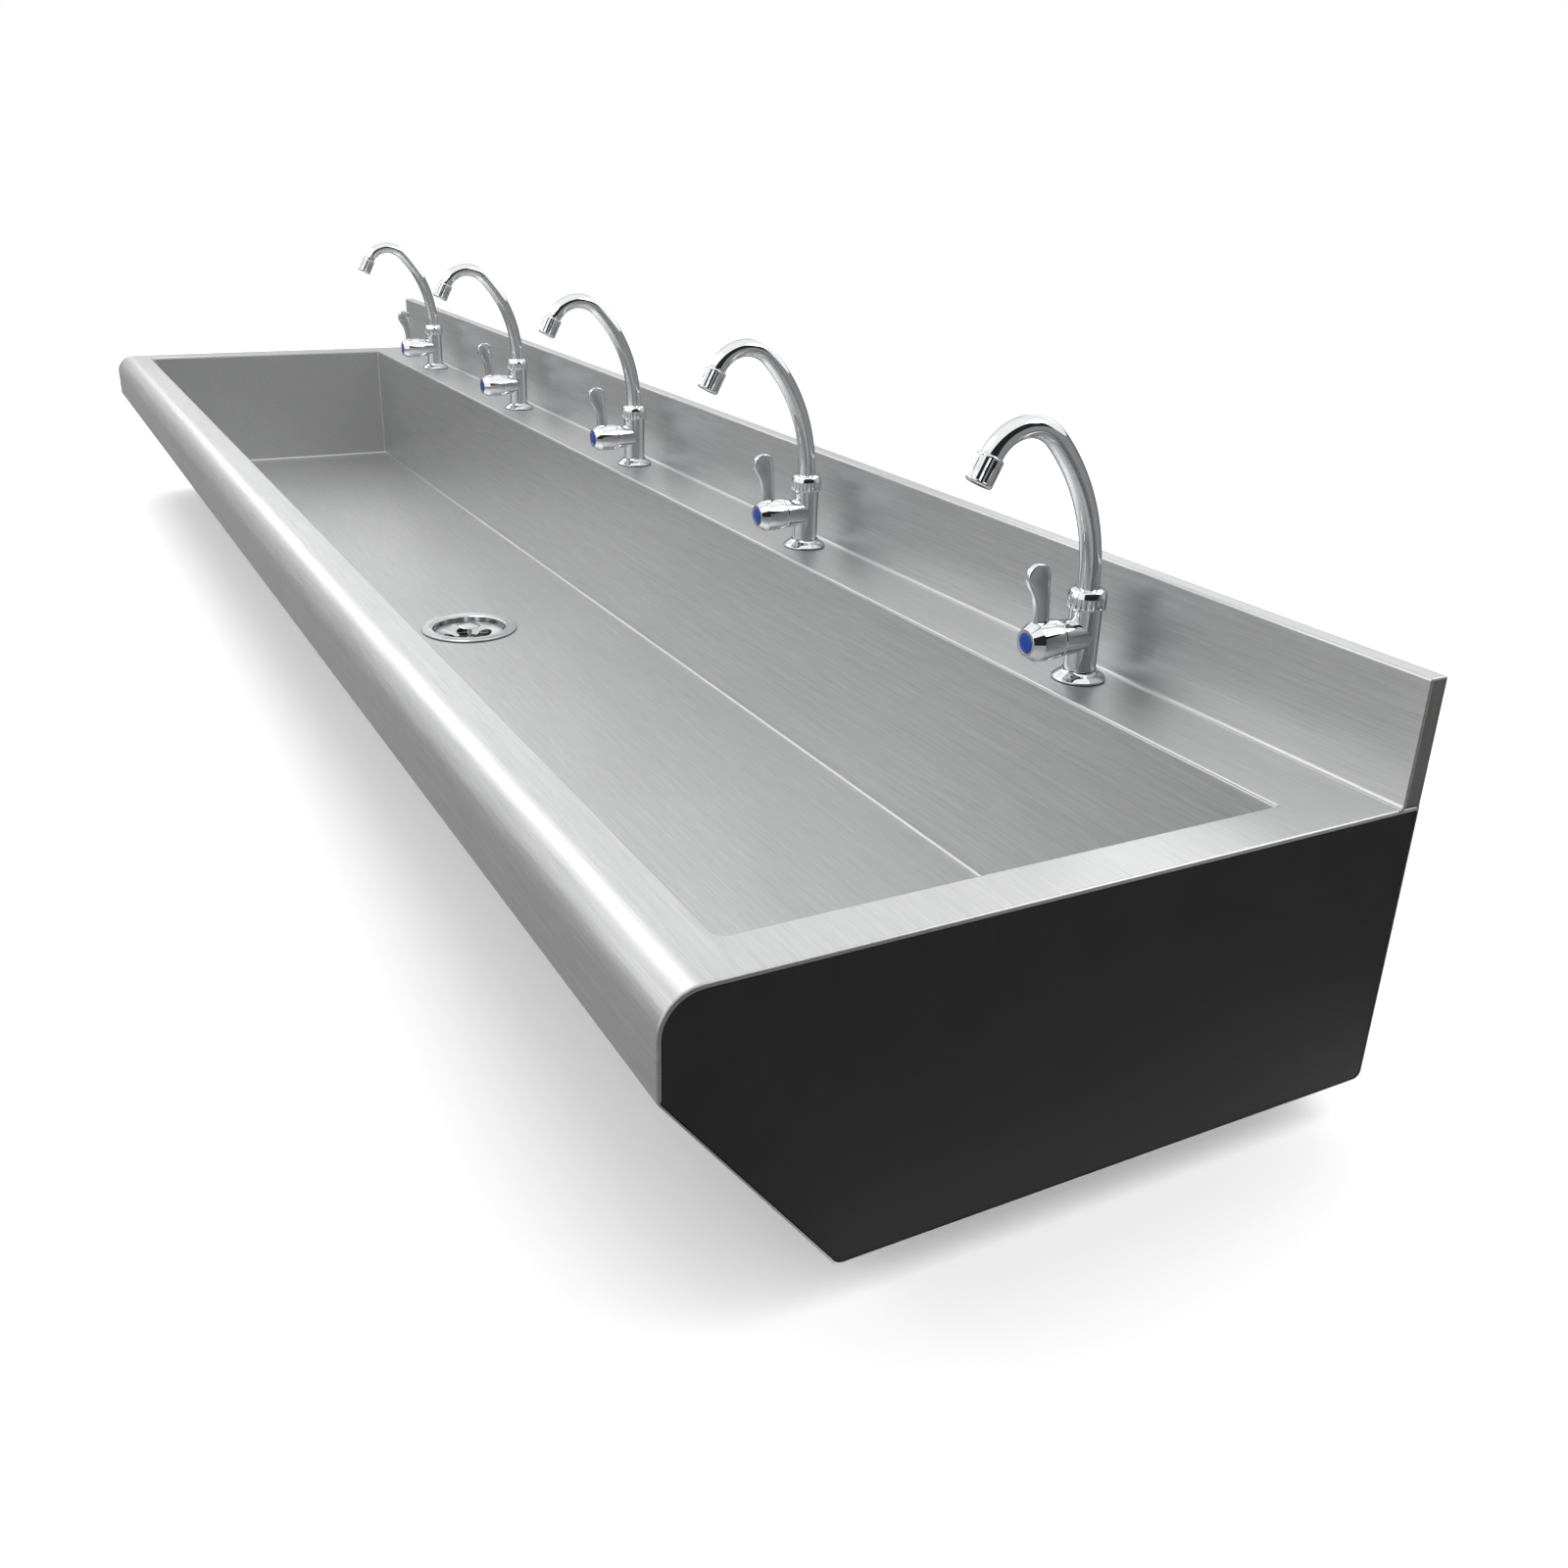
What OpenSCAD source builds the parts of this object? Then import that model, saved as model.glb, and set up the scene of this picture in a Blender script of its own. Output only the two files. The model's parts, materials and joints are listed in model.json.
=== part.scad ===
// Five-station wash trough: a folded stainless trough in a closed casing that hangs on a wall,
// five swan-neck pillar taps with quarter-turn levers, and one basket waste.
// X runs along the trough, -Y is the user's side, +Z is up.
// The origin is the centre of the four outer wall-bolt holes, on the wall plane.

/* [Casing] */
// Length of the trough
trough_l = 2800; // [2400:10:3400]
// Depth from the wall to the front of the apron
trough_d = 635; // [600:5:700]
// Height of the space under the bowl floor, casing bottom included
under_bowl_h = 22; // [15:1:80]
// Depth of the flat bottom, from the wall
bottom_d = 503; // [480:1:540]
// Height of the upright apron, rounded nose included
apron_h = 75; // [60:1:100]
// Radius of the rounded front nose
nose_r = 32; // [20:1:45]
// Thickness of the stainless sheet
sheet_t = 1.5; // [1.2:0.1:2]
// Height of the splashback above the deck
splash_h = 105; // [60:5:200]
// Thickness of the splashback
splash_t = 18; // [15:1:25]
// Thickness of the dark end panels
panel_t = 2; // [1.5:0.5:3]

/* [Bowl] */
// Width of the deck at each end of the bowl
end_rim = 47; // [40:1:80]
// Width of the deck in front of the bowl
front_rim = 61.5; // [50:0.5:80]
// Distance from the wall to the back of the bowl
bowl_back = 100.5; // [95:0.5:130]
// Depth of the bowl below the deck
bowl_depth = 226; // [190:1:280]
// How far the front wall of the bowl leans in at the floor
front_lean = 68; // [60:1:90]
// Radius of the front corners of the bowl opening
opening_r = 10; // [4:1:20]

/* [Waste] */
// Distance from the wall to the waste
waste_y = 323; // [290:1:350]
// Radius of the waste flange
waste_flange_r = 70; // [66:1:74]
// Inner radius of the waste cup
cup_r = 52.5; // [48:0.5:54]
// Depth of the waste cup below the bowl floor
cup_depth = 26; // [25:1:45]
// Outer radius of the outlet spigot, a 1 1/2 inch pipe thread
spigot_r = 23.9; // [20:0.1:24]
// Length of the outlet spigot
spigot_l = 20; // [15:1:40]

/* [Taps] */
// Distance between neighbouring taps
tap_pitch = 528; // [450:1:600]
// Distance from the wall to the tap columns
tap_y = 54.5; // [50:0.5:60]
// Radius of the tap column
column_r = 15; // [14:0.1:15.4]
// Height of the tap column above the deck
column_h = 80; // [78:1:90]
// Radius of the tap's deck flange
tap_flange_r = 25; // [23:0.5:28]
// Radius of the threaded shank through the deck
shank_r = 10.5; // [9:0.1:10.5]
// Radius of the inlet tail below it, a 1/2 inch pipe thread
tail_r = 10.4; // [8:0.1:10.4]
// Length of the inlet tail
tail_l = 40; // [15:1:50]
// Height of the valve axis above the deck
valve_z = 42; // [40:1:44]
// Distance from the column axis to the seam in front of the valve
seam_y = 31.7; // [31:0.1:35]
// Radius of the lever hub
hub_r = 18.3; // [17.5:0.1:19]
// Length of the lever hub
hub_l = 34.3; // [34:0.1:38]
// Radius of the lever's rounded head
head_r = 12.5; // [10:0.5:15]
// Height of the middle of that head above the valve axis
head_rise = 60.5; // [50:0.5:80]
// Width of the lever's stem
stem_w = 15; // [12:0.5:16]
// Thickness of the lever's blade
blade_t = 6.5; // [4:0.5:8]
// Radius of the spout tube
spout_r = 10; // [9:0.1:10.5]
// Height above the deck at which the spout starts to bend
bend_z = 90; // [88:1:120]
// Bend radius of the long riser
riser_bend_r = 192; // [150:1:260]
// Angle of the long riser's bend
riser_angle = 44; // [35:1:60]
// Bend radius of the tight end of the spout
crook_bend_r = 42; // [35:1:60]
// Angle of the tight bend
crook_angle = 108.5; // [95:0.5:120]
// Radius of the aerator
aerator_r = 12.4; // [12:0.1:13]
// Length of the aerator
aerator_l = 26; // [22:0.5:30]

/* [Wall fixing] */
// Distance between the outer wall bolts along the trough
fix_pitch_x = 2200; // [1600:10:2300]
// Height of the lower row of wall bolts above the casing bottom
fix_low = 60; // [40:1:80]
// Height of the upper row of wall bolts above the casing bottom
fix_high = 170; // [140:1:180]
// Radius of the wall-bolt holes
fix_hole_r = 6; // [4:0.5:7]

/* [Hidden] */
tap_count = 5;
TAPS = [1:tap_count];

// One overrun for every cut, and the gaps that parts keep
cut = 1;
turn_gap = 0.05;
slip_gap = 0.1;
seat_gap = 0.3;
round_fn = 96;
small_fn = 48;
bend_steps = 6;
nose_steps = 24;

// Heights, measured from the origin
casing_h = under_bowl_h + bowl_depth;
casing_z = -(fix_low + fix_high) / 2;
deck_z = casing_z + casing_h;
floor_z = deck_z - bowl_depth;
half_l = trough_l / 2;
bowl_half_l = half_l - end_rim;
bowl_front = trough_d - front_rim;

// Folds of the casing sheets
fold_r = 2.5;
apron_fold_r = 8;
bottom_fold_r = 12;
panel_corner_r = 8;
lap = 25;
bowl_fold_r = 4;
panel_recess = 0.5;

// Openings in the casing bottom: a slot for the supplies and a hole under the waste
service_front = 105;
service_back = 30;
service_inset = 100;
waste_access_r = 80;

// Rails and supports inside the casing
rail_w = 40;
rail_depth = 25;
rail_t = 2;
rail_inset = 60;
tap_rail_t = 3;
tap_rail_back = 20;
tap_rail_w = 72;
support_count = 6;
support_w = 30;
support_back = 112;
support_front = 480;
support_inset = 150;

// Waste fitting
cup_t = 1.5;
flange_t = 2.2;
flange_lip = 1;
gasket_t = 1;
under_washer_t = 2;
friction_t = 1;
locknut_h = 9;
locknut_w = 10;
lug_count = 8;
lug_l = 4;
lug_w = 12;
spigot_bore_r = 20;
ledge_w = 2;
cup_out_r = cup_r + cup_t;
cup_low_r = cup_r - ledge_w;
ledge_depth = 8;
basket_t = 1;
basket_depth = 16;
basket_foot_r = 22;
basket_wall_r = 38;
basket_wall_share = 0.62;
petal_count = 5;
petal_outer_r = 12;
petal_inner_r = 4.5;
petal_far = 25.5;
petal_near = 13;
knob_r = 17;
knob_t = 4;
knob_top = 6;
knob_stem_r = 2.5;
knob_boss_r = 6;
knob_boss_h = 3;
knob_edge_share = 0.4;

// Tap column, foot and fixing
foot_r = 19.5;
foot_h = 3.7;
tap_gasket_t = 0.8;
tap_gasket_inset = 0.6;
tap_flange_h = 8.2;
tap_flange_edge = 1.4;
flange_bulge_shares = [0.86, 0.55];
flange_shoulder_shares = [0.68, 0.86];
tap_hole_r = shank_r + 1;
backnut_w = 32;
backnut_h = 8;
backnut_flange_r = 18;
backnut_flange_t = 2;
shank_l = 18;
relief_l = 2;
relief_t = 0.8;
inlet_r = 5;
outlet_r = 4;
outlet_y = 6;
chamber_depth = 6;
branch_root_r = 14.8;
branch_r = 17.2;
valve_bore_r = 9.1;
spout_seat_z = 55;
bead_seat_z = 66;
bead_r = 12;
bead_t = 3;
spout_wall = 1.5;
spout_tip_l = 3;
crook_grow = 0.1;
lap_angle = 0.6;
tip_lap = 1.5;
oring_section_r = 0.8;
oring_z = 60;

// Collar that holds the spout
collar_z = 68;
collar_h = 19;
collar_r = 18;
collar_chamfer = 1;
collar_band_h = 11;
collar_crown_share = 0.72;
collar_flutes = 24;
collar_flute_r = 1.1;
collar_flute_out = 0.5;
collar_mouth_r = spout_r + seat_gap;

// Aerator
aerator_chamfer = 1.4;
aerator_socket = 4;
aerator_bore_r = 9;
aerator_flutes = 12;
aerator_flute_r = 1.7;
aerator_flute_out = 0.9;
aerator_flute_inset = 2.4;
screen_inset = 2;
screen_t = 2;

// Valve, lever and cap
cartridge_l = 30;
cartridge_boss_r = 6.5;
cartridge_boss_l = 6;
spindle_r = 4;
spindle_start = 10;
spindle_end = 56.5;
screw_head_r = 4;
screw_head_t = 2.3;
screw_r = 2;
screw_l = 7;
hub_wall = 3.5;
hub_cavity_l = 14.3;
hub_back_chamfer = 1.7;
hub_nose_l = 9.5;
hub_nose_r = 12.6;
hub_web_l = 11;
cap_r = 9.2;
cap_t = 5.7;
cap_dome = 1.5;
cap_steps = 8;
stem_back = 42.8;
head_lead = 16;
curve_low_share = 0.777;
curve_high_shares = [0.88, 0.71];
curve_steps = 12;
head_steps = 18;

steel = "#c4c6c8";
dark_steel = "#5a5a58";
black = "#2c2c2c";
chrome = "#e2e6ea";
brass = "#b89648";
rubber = "#222222";
nylon = "#6d7175";
blue = "#1b3f9c";

// Flat geometry

function unit(v) = v / norm(v);
function left_of(v) = [-v[1], v[0]];

// A line moved to its left by t, mitred at its corners
function beside(p, t) = [
    for (i = [0:len(p) - 1])
        let (
            a = i == 0 ? unit(p[1] - p[0]) : unit(p[i] - p[i - 1]),
            b = i == len(p) - 1 ? a : unit(p[i + 1] - p[i]),
            m = left_of(a) + left_of(b)
        )
        p[i] + m * (2 * t / (m * m))
];

// The points of an arc that rounds corner p between neighbours a and b
function corner(a, p, b, r, steps) =
    let (
        u = unit(a - p),
        v = unit(b - p),
        half = acos(u * v) / 2,
        centre = p + unit(u + v) * (r / sin(half)),
        start = p + u * (r / tan(half)) - centre,
        end = p + v * (r / tan(half)) - centre,
        turn = 180 - 2 * half
    )
    [for (k = [0:steps])
        centre + (start * sin(turn * (1 - k / steps)) + end * sin(turn * k / steps)) / sin(turn)];

// An open line with its inner corners rounded, each by its own radius and number of steps
function rounded(p, radii, steps) = concat(
    [p[0]],
    [for (i = [1:len(p) - 2]) each corner(p[i - 1], p[i], p[i + 1], radii[i - 1], steps[i - 1])],
    [p[len(p) - 1]]
);

function reversed(p) = [for (i = [len(p) - 1:-1:0]) p[i]];

// The cross-section of a sheet whose face follows line p
function sheet_section(p, t) = concat(p, reversed(beside(p, t)));

// A (Y, Z) outline extruded along X from x0 to x1
module along_x(x0, x1) translate([x0, 0, 0]) rotate([90, 0, 90]) linear_extrude(x1 - x0) children();

module full_length(points) along_x(-half_l, half_l) polygon(points);

module tube(r_out, r_in, h) difference() {
    cylinder(r = r_out, h = h, $fn = round_fn);
    translate([0, 0, -cut]) cylinder(r = r_in, h = h + 2 * cut, $fn = round_fn);
}

// Casing lines, seen along +X as (Y, Z), each running so that the sheet lies on its left

slope_dir = unit([trough_d - bottom_d, -(casing_h - apron_h)]);
apron_foot = [-trough_d, deck_z - apron_h];
lap_point = apron_foot + slope_dir * lap;

deck_line = rounded(
    [[-sheet_t, deck_z], [-trough_d, deck_z], apron_foot, lap_point],
    [nose_r, apron_fold_r], [nose_steps, bend_steps]
);
skirt_line = rounded(
    [lap_point, [-bottom_d, casing_z], [0, casing_z], [0, casing_z + lap]],
    [bottom_fold_r, panel_corner_r], [bend_steps, bend_steps]
);
splash_line = rounded(
    [[0, deck_z], [0, deck_z + splash_h], [-splash_t, deck_z + splash_h], [-splash_t, deck_z]],
    [fold_r, fold_r], [bend_steps, bend_steps]
);
basin_line = rounded(
    [[-bowl_back, deck_z - sheet_t], [-bowl_back, floor_z], [-bowl_front + front_lean, floor_z],
     [-bowl_front, deck_z - sheet_t]],
    [bowl_fold_r, bowl_fold_r], [bend_steps, bend_steps]
);
inner_skirt_line = beside(skirt_line, sheet_t);
panel_line = concat(
    beside(deck_line, sheet_t),
    [for (k = [1:len(inner_skirt_line) - 1]) inner_skirt_line[k]]
);

// Casing

module deck() color(steel) difference() {
    full_length(sheet_section(deck_line, sheet_t));
    translate([0, 0, deck_z - sheet_t - cut]) linear_extrude(sheet_t + 2 * cut) bowl_opening();
    at_each_tap() translate([0, 0, -sheet_t - cut])
        cylinder(r = tap_hole_r, h = sheet_t + 2 * cut, $fn = round_fn);
}

module bowl_opening() {
    translate([-bowl_half_l, -bowl_front + opening_r])
        square([2 * bowl_half_l, bowl_front - bowl_back - opening_r]);
    translate([-bowl_half_l + opening_r, -bowl_front])
        square([2 * (bowl_half_l - opening_r), bowl_front - bowl_back]);
    for (side = [-1, 1])
        translate([side * (bowl_half_l - opening_r), -bowl_front + opening_r])
            circle(r = opening_r, $fn = round_fn);
}

module backsplash() color(steel) full_length(sheet_section(splash_line, sheet_t));

module splash_end(side) color(dark_steel) translate([side * (half_l - sheet_t / 2), 0, 0])
    along_x(-sheet_t / 2, sheet_t / 2) polygon(beside(splash_line, sheet_t));

module back_panel() color(steel) difference() {
    translate([-half_l, -sheet_t, casing_z + lap]) cube([trough_l, sheet_t, casing_h - lap]);
    at_each_fixing() wall_hole(sheet_t);
}

module wall_hole(depth) rotate([90, 0, 0]) translate([0, 0, -cut])
    cylinder(r = fix_hole_r, h = depth + 2 * cut, $fn = round_fn);

module at_each_fixing()
    for (x = [-1, 0, 1]) for (z = [fix_low, fix_high])
        translate([x * fix_pitch_x / 2, 0, casing_z + z]) children();

module skirt() color(steel) difference() {
    full_length(sheet_section(skirt_line, sheet_t));
    translate([0, -waste_y, casing_z - cut])
        cylinder(r = waste_access_r, h = sheet_t + 2 * cut, $fn = round_fn);
    translate([-half_l + service_inset, -service_front, casing_z - cut])
        cube([trough_l - 2 * service_inset, service_front - service_back, sheet_t + 2 * cut]);
}

module end_panel(side) color(black)
    translate([side * (half_l - panel_recess - panel_t / 2), 0, 0])
        along_x(-panel_t / 2, panel_t / 2) polygon(panel_line);

// Bowl

module basin_trough() color(steel) difference() {
    along_x(-bowl_half_l, bowl_half_l) polygon(sheet_section(basin_line, sheet_t));
    translate([0, -waste_y, floor_z - sheet_t - cut])
        cylinder(r = cup_out_r + slip_gap, h = sheet_t + 2 * cut, $fn = round_fn);
}

module basin_end(side) color(steel)
    translate([side * (bowl_half_l + sheet_t / 2), 0, 0])
        along_x(-sheet_t / 2, sheet_t / 2) polygon(beside(basin_line, sheet_t));

// Rails and supports

module tap_rail() color(steel) difference() {
    translate([-half_l + rail_inset, -tap_rail_back - tap_rail_w, deck_z - sheet_t - tap_rail_t])
        cube([trough_l - 2 * rail_inset, tap_rail_w, tap_rail_t]);
    at_each_tap() translate([0, 0, -sheet_t - tap_rail_t - cut])
        cylinder(r = tap_hole_r, h = tap_rail_t + 2 * cut, $fn = round_fn);
}

module wall_rails() color(steel) for (z = [fix_low, fix_high]) wall_rail(casing_z + z);

module wall_rail(z) difference() {
    along_x(-half_l + rail_inset, half_l - rail_inset) polygon(sheet_section(
        [[-sheet_t - rail_depth, z - rail_w / 2], [-sheet_t, z - rail_w / 2],
         [-sheet_t, z + rail_w / 2], [-sheet_t - rail_depth, z + rail_w / 2]], rail_t));
    for (x = [-1, 0, 1])
        translate([x * fix_pitch_x / 2, 0, z]) wall_hole(sheet_t + rail_t);
}

// Square tubes between the bowl floor and the casing bottom, none of them at the waste
module floor_supports() color(steel)
    for (k = [0:support_count - 1])
        translate([support_x(k), 0, casing_z + sheet_t]) floor_support();

function support_x(k) = (k / (support_count - 1) - 0.5) * (2 * bowl_half_l - 2 * support_inset);

support_h = floor_z - casing_z - 2 * sheet_t;

module floor_support() difference() {
    translate([-support_w / 2, -support_front, 0])
        cube([support_w, support_front - support_back, support_h]);
    translate([-support_w / 2 + sheet_t, -support_front - cut, sheet_t])
        cube([support_w - 2 * sheet_t, support_front - support_back + 2 * cut, support_h - 2 * sheet_t]);
}

// Waste fitting, each piece turned about the waste's own axis with the bowl floor at zero

module at_waste() translate([0, -waste_y, floor_z]) children();

module waste_body() color(chrome) at_waste() rotate_extrude($fn = round_fn) polygon([
    [cup_out_r, gasket_t],
    [waste_flange_r, gasket_t],
    [waste_flange_r, gasket_t + flange_lip],
    [waste_flange_r - flange_lip, gasket_t + flange_t],
    [cup_out_r, gasket_t + flange_t],
    [cup_r, gasket_t + flange_t - flange_lip],
    [cup_r, -ledge_depth],
    [cup_low_r, -ledge_depth],
    [cup_low_r, -cup_depth + cup_t],
    [spigot_bore_r, -cup_depth + cup_t],
    [spigot_bore_r, -cup_depth - spigot_l],
    [spigot_r, -cup_depth - spigot_l],
    [spigot_r, -cup_depth],
    [cup_low_r + cup_t, -cup_depth],
    [cup_low_r + cup_t, -locknut_end - cup_t],
    [cup_out_r, -locknut_end]
]);

locknut_top = sheet_t + under_washer_t + friction_t;
locknut_end = locknut_top + locknut_h;

module waste_gasket() color(rubber) at_waste()
    tube(waste_flange_r - flange_lip, cup_out_r + slip_gap, gasket_t);

module waste_under_washer() color(rubber) at_waste() translate([0, 0, -sheet_t - under_washer_t])
    tube(cup_out_r + locknut_w, cup_out_r + slip_gap, under_washer_t);

module waste_friction_ring() color(nylon) at_waste() translate([0, 0, -locknut_top])
    tube(cup_out_r + locknut_w, cup_out_r + slip_gap, friction_t);

module waste_locknut() color(nylon) at_waste() translate([0, 0, -locknut_end]) difference() {
    union() {
        cylinder(r = cup_out_r + locknut_w, h = locknut_h, $fn = round_fn);
        for (k = [1:lug_count]) rotate(k * 360 / lug_count)
            translate([cup_out_r + locknut_w / 2, -lug_w / 2, 0])
                cube([locknut_w / 2 + lug_l, lug_w, locknut_h]);
    }
    translate([0, 0, -cut]) cylinder(r = cup_out_r + slip_gap, h = locknut_h + 2 * cut, $fn = round_fn);
}

basket_rim_z = -ledge_depth + seat_gap + basket_t;
basket_rim_r = cup_r - ledge_w / 2;
basket_face = [
    [0, -basket_depth],
    [basket_foot_r, -basket_depth],
    [basket_wall_r, -basket_depth * basket_wall_share],
    [cup_low_r - basket_t - seat_gap, basket_rim_z]
];

module strainer_basket() color(chrome) at_waste() difference() {
    rotate_extrude($fn = round_fn) polygon(concat(
        basket_face,
        [[basket_rim_r, basket_rim_z], [basket_rim_r, basket_rim_z - basket_t],
         [cup_low_r - seat_gap, basket_rim_z - basket_t],
         [basket_wall_r + basket_t, -basket_depth * basket_wall_share - basket_t],
         [basket_foot_r, -basket_depth - basket_t], [0, -basket_depth - basket_t]]
    ));
    for (k = [1:petal_count]) rotate((k - 0.5) * 360 / petal_count)
        translate([0, 0, -basket_depth - basket_t - cut]) linear_extrude(basket_depth) petal();
}

module petal() {
    translate([petal_far, 0]) circle(r = petal_outer_r, $fn = small_fn);
    translate([petal_near, 0]) circle(r = petal_inner_r, $fn = small_fn);
    polygon([[petal_near, -petal_inner_r], [petal_far, -petal_outer_r],
             [petal_far, petal_outer_r], [petal_near, petal_inner_r]]);
}

module strainer_knob() color(chrome) at_waste() rotate_extrude($fn = round_fn) polygon([
    [0, -basket_depth],
    [knob_boss_r, -basket_depth],
    [knob_boss_r * knob_edge_share, -basket_depth + knob_boss_h],
    [knob_stem_r, -basket_depth + knob_boss_h],
    [knob_stem_r, knob_top - knob_t],
    [knob_r * (1 - knob_edge_share / 2), knob_top - knob_t],
    [knob_r, knob_top - knob_t / 2],
    [knob_r * (1 - knob_edge_share / 2), knob_top - knob_t * knob_edge_share / 2],
    [knob_r * knob_edge_share, knob_top],
    [0, knob_top]
]);

seal_top = -basket_depth - basket_t;
seal_low = -cup_depth + cup_t + seat_gap;

module strainer_seal() color(rubber) at_waste() translate([0, 0, seal_low])
    cylinder(r1 = basket_foot_r - seat_gap, r2 = basket_foot_r, h = seal_top - seal_low, $fn = round_fn);

// Taps. Each is drawn about its column's axis, with the deck at zero and -Y to the front

function tap_x(i) = (i - (tap_count + 1) / 2) * tap_pitch;

module at_tap(i) translate([tap_x(i), -tap_y, deck_z]) children();
module at_each_tap() for (i = TAPS) at_tap(i) children();

// Turned pieces that lie along the valve axis, pointing to the front
module at_valve() translate([0, 0, valve_z]) rotate([90, 0, 0]) children();

module tap_flanges() color(chrome) at_each_tap() rotate_extrude($fn = round_fn) polygon([
    [foot_r + slip_gap, tap_gasket_t],
    [tap_flange_r, tap_gasket_t],
    [tap_flange_r, tap_gasket_t + tap_flange_edge],
    [tap_flange_r * flange_bulge_shares[0], tap_gasket_t + tap_flange_h * flange_bulge_shares[1]],
    [tap_flange_r * flange_shoulder_shares[0], tap_gasket_t + tap_flange_h * flange_shoulder_shares[1]],
    [column_r + sheet_t, tap_gasket_t + tap_flange_h],
    [column_r + slip_gap, tap_gasket_t + tap_flange_h],
    [column_r + slip_gap, tap_gasket_t + foot_h + slip_gap],
    [foot_r + slip_gap, tap_gasket_t + foot_h + slip_gap]
]);

module tap_gaskets() color(rubber) at_each_tap()
    tube(tap_flange_r - tap_gasket_inset, shank_r + slip_gap, tap_gasket_t);

nut_top = -sheet_t - tap_rail_t;

module tap_backnuts() color(brass) at_each_tap() translate([0, 0, nut_top - backnut_h]) difference() {
    union() {
        cylinder(d = backnut_w / cos(30), h = backnut_h, $fn = 6);
        translate([0, 0, backnut_h - backnut_flange_t])
            cylinder(r = backnut_flange_r, h = backnut_flange_t, $fn = round_fn);
    }
    translate([0, 0, -cut]) cylinder(r = shank_r + slip_gap, h = backnut_h + 2 * cut, $fn = round_fn);
}

tail_top = -shank_l - relief_l;

module tap_body(i) color(chrome) at_tap(i) difference() {
    union() {
        translate([0, 0, -shank_l]) cylinder(r = shank_r, h = shank_l + tap_gasket_t, $fn = round_fn);
        translate([0, 0, tail_top - relief_t])
            cylinder(r = tail_r - relief_t, h = relief_l + 2 * relief_t, $fn = round_fn);
        translate([0, 0, tail_top - tail_l]) cylinder(r = tail_r, h = tail_l, $fn = round_fn);
        translate([0, 0, tap_gasket_t]) cylinder(r = foot_r, h = foot_h, $fn = round_fn);
        translate([0, 0, tap_gasket_t]) cylinder(r = column_r, h = column_h - tap_gasket_t, $fn = round_fn);
        at_valve() cylinder(r1 = branch_root_r, r2 = branch_r, h = seam_y - seat_gap, $fn = round_fn);
    }
    translate([0, 0, tail_top - tail_l - cut])
        cylinder(r = inlet_r, h = valve_z - tail_top + tail_l + cut, $fn = small_fn);
    at_valve() translate([0, 0, -chamber_depth])
        cylinder(r = valve_bore_r, h = seam_y + chamber_depth + cut, $fn = round_fn);
    translate([0, -outlet_y, valve_z])
        cylinder(r = outlet_r, h = spout_seat_z - valve_z + cut, $fn = small_fn);
    translate([0, 0, spout_seat_z])
        cylinder(r = spout_r + turn_gap, h = column_h - spout_seat_z + cut, $fn = round_fn);
    translate([0, 0, bead_seat_z])
        cylinder(r = bead_r + seat_gap, h = column_h - bead_seat_z + cut, $fn = round_fn);
    translate([0, 0, oring_z - groove_half_h])
        cylinder(r = spout_r + 2 * groove_half_h, h = 2 * groove_half_h, $fn = round_fn);
}

groove_half_h = oring_section_r + slip_gap;

module tap_orings() color(rubber) at_each_tap() translate([0, 0, oring_z])
    rotate_extrude($fn = round_fn)
        translate([spout_r + slip_gap + oring_section_r, 0]) circle(r = oring_section_r, $fn = small_fn);

module tap_cartridges() color(brass) at_each_tap() at_valve() difference() {
    union() {
        cylinder(r = valve_bore_r - slip_gap, h = cartridge_l, $fn = round_fn);
        cylinder(r = cartridge_boss_r, h = cartridge_l + cartridge_boss_l, $fn = round_fn);
    }
    translate([0, 0, spindle_start])
        cylinder(r = spindle_r + turn_gap, h = cartridge_l + cartridge_boss_l + cut, $fn = round_fn);
}

module tap_collars() color(chrome) at_each_tap() translate([0, 0, collar_z]) difference() {
    rotate_extrude($fn = round_fn) polygon([
        [column_r + slip_gap, 0],
        [collar_r - collar_chamfer, 0],
        [collar_r, collar_chamfer],
        [collar_r, collar_chamfer + collar_band_h],
        [collar_r * collar_crown_share + collar_mouth_r * (1 - collar_crown_share),
         collar_h - collar_chamfer],
        [collar_mouth_r + collar_chamfer, collar_h],
        [collar_mouth_r, collar_h],
        [collar_mouth_r, column_h - collar_z + seat_gap],
        [column_r + slip_gap, column_h - collar_z + seat_gap]
    ]);
    for (k = [1:collar_flutes]) rotate(k * 360 / collar_flutes)
        translate([collar_r + collar_flute_out, 0, 2 * collar_chamfer])
            cylinder(r = collar_flute_r, h = collar_band_h - 2 * collar_chamfer, $fn = small_fn);
}

// The tube's wall in section, fattened on both faces by grow
module tube_section(grow = 0) difference() {
    circle(r = spout_r + grow, $fn = small_fn);
    circle(r = spout_r - spout_wall - grow, $fn = small_fn);
}

// A bend of the spout: it starts at zero heading up and curves to the front
module bend(bend_r, angle, grow = 0) translate([0, -bend_r, 0]) rotate([90, 0, 90])
    rotate_extrude(angle = angle, $fn = round_fn) translate([bend_r, 0]) tube_section(grow);

// The place and heading that such a bend ends at
module after_bend(bend_r, angle)
    translate([0, -bend_r * (1 - cos(angle)), bend_r * sin(angle)]) rotate([angle, 0, 0]) children();

module at_riser_end() translate([0, 0, bend_z]) after_bend(riser_bend_r, riser_angle) children();
module at_spout_tip() at_riser_end() after_bend(crook_bend_r, crook_angle) children();

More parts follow.
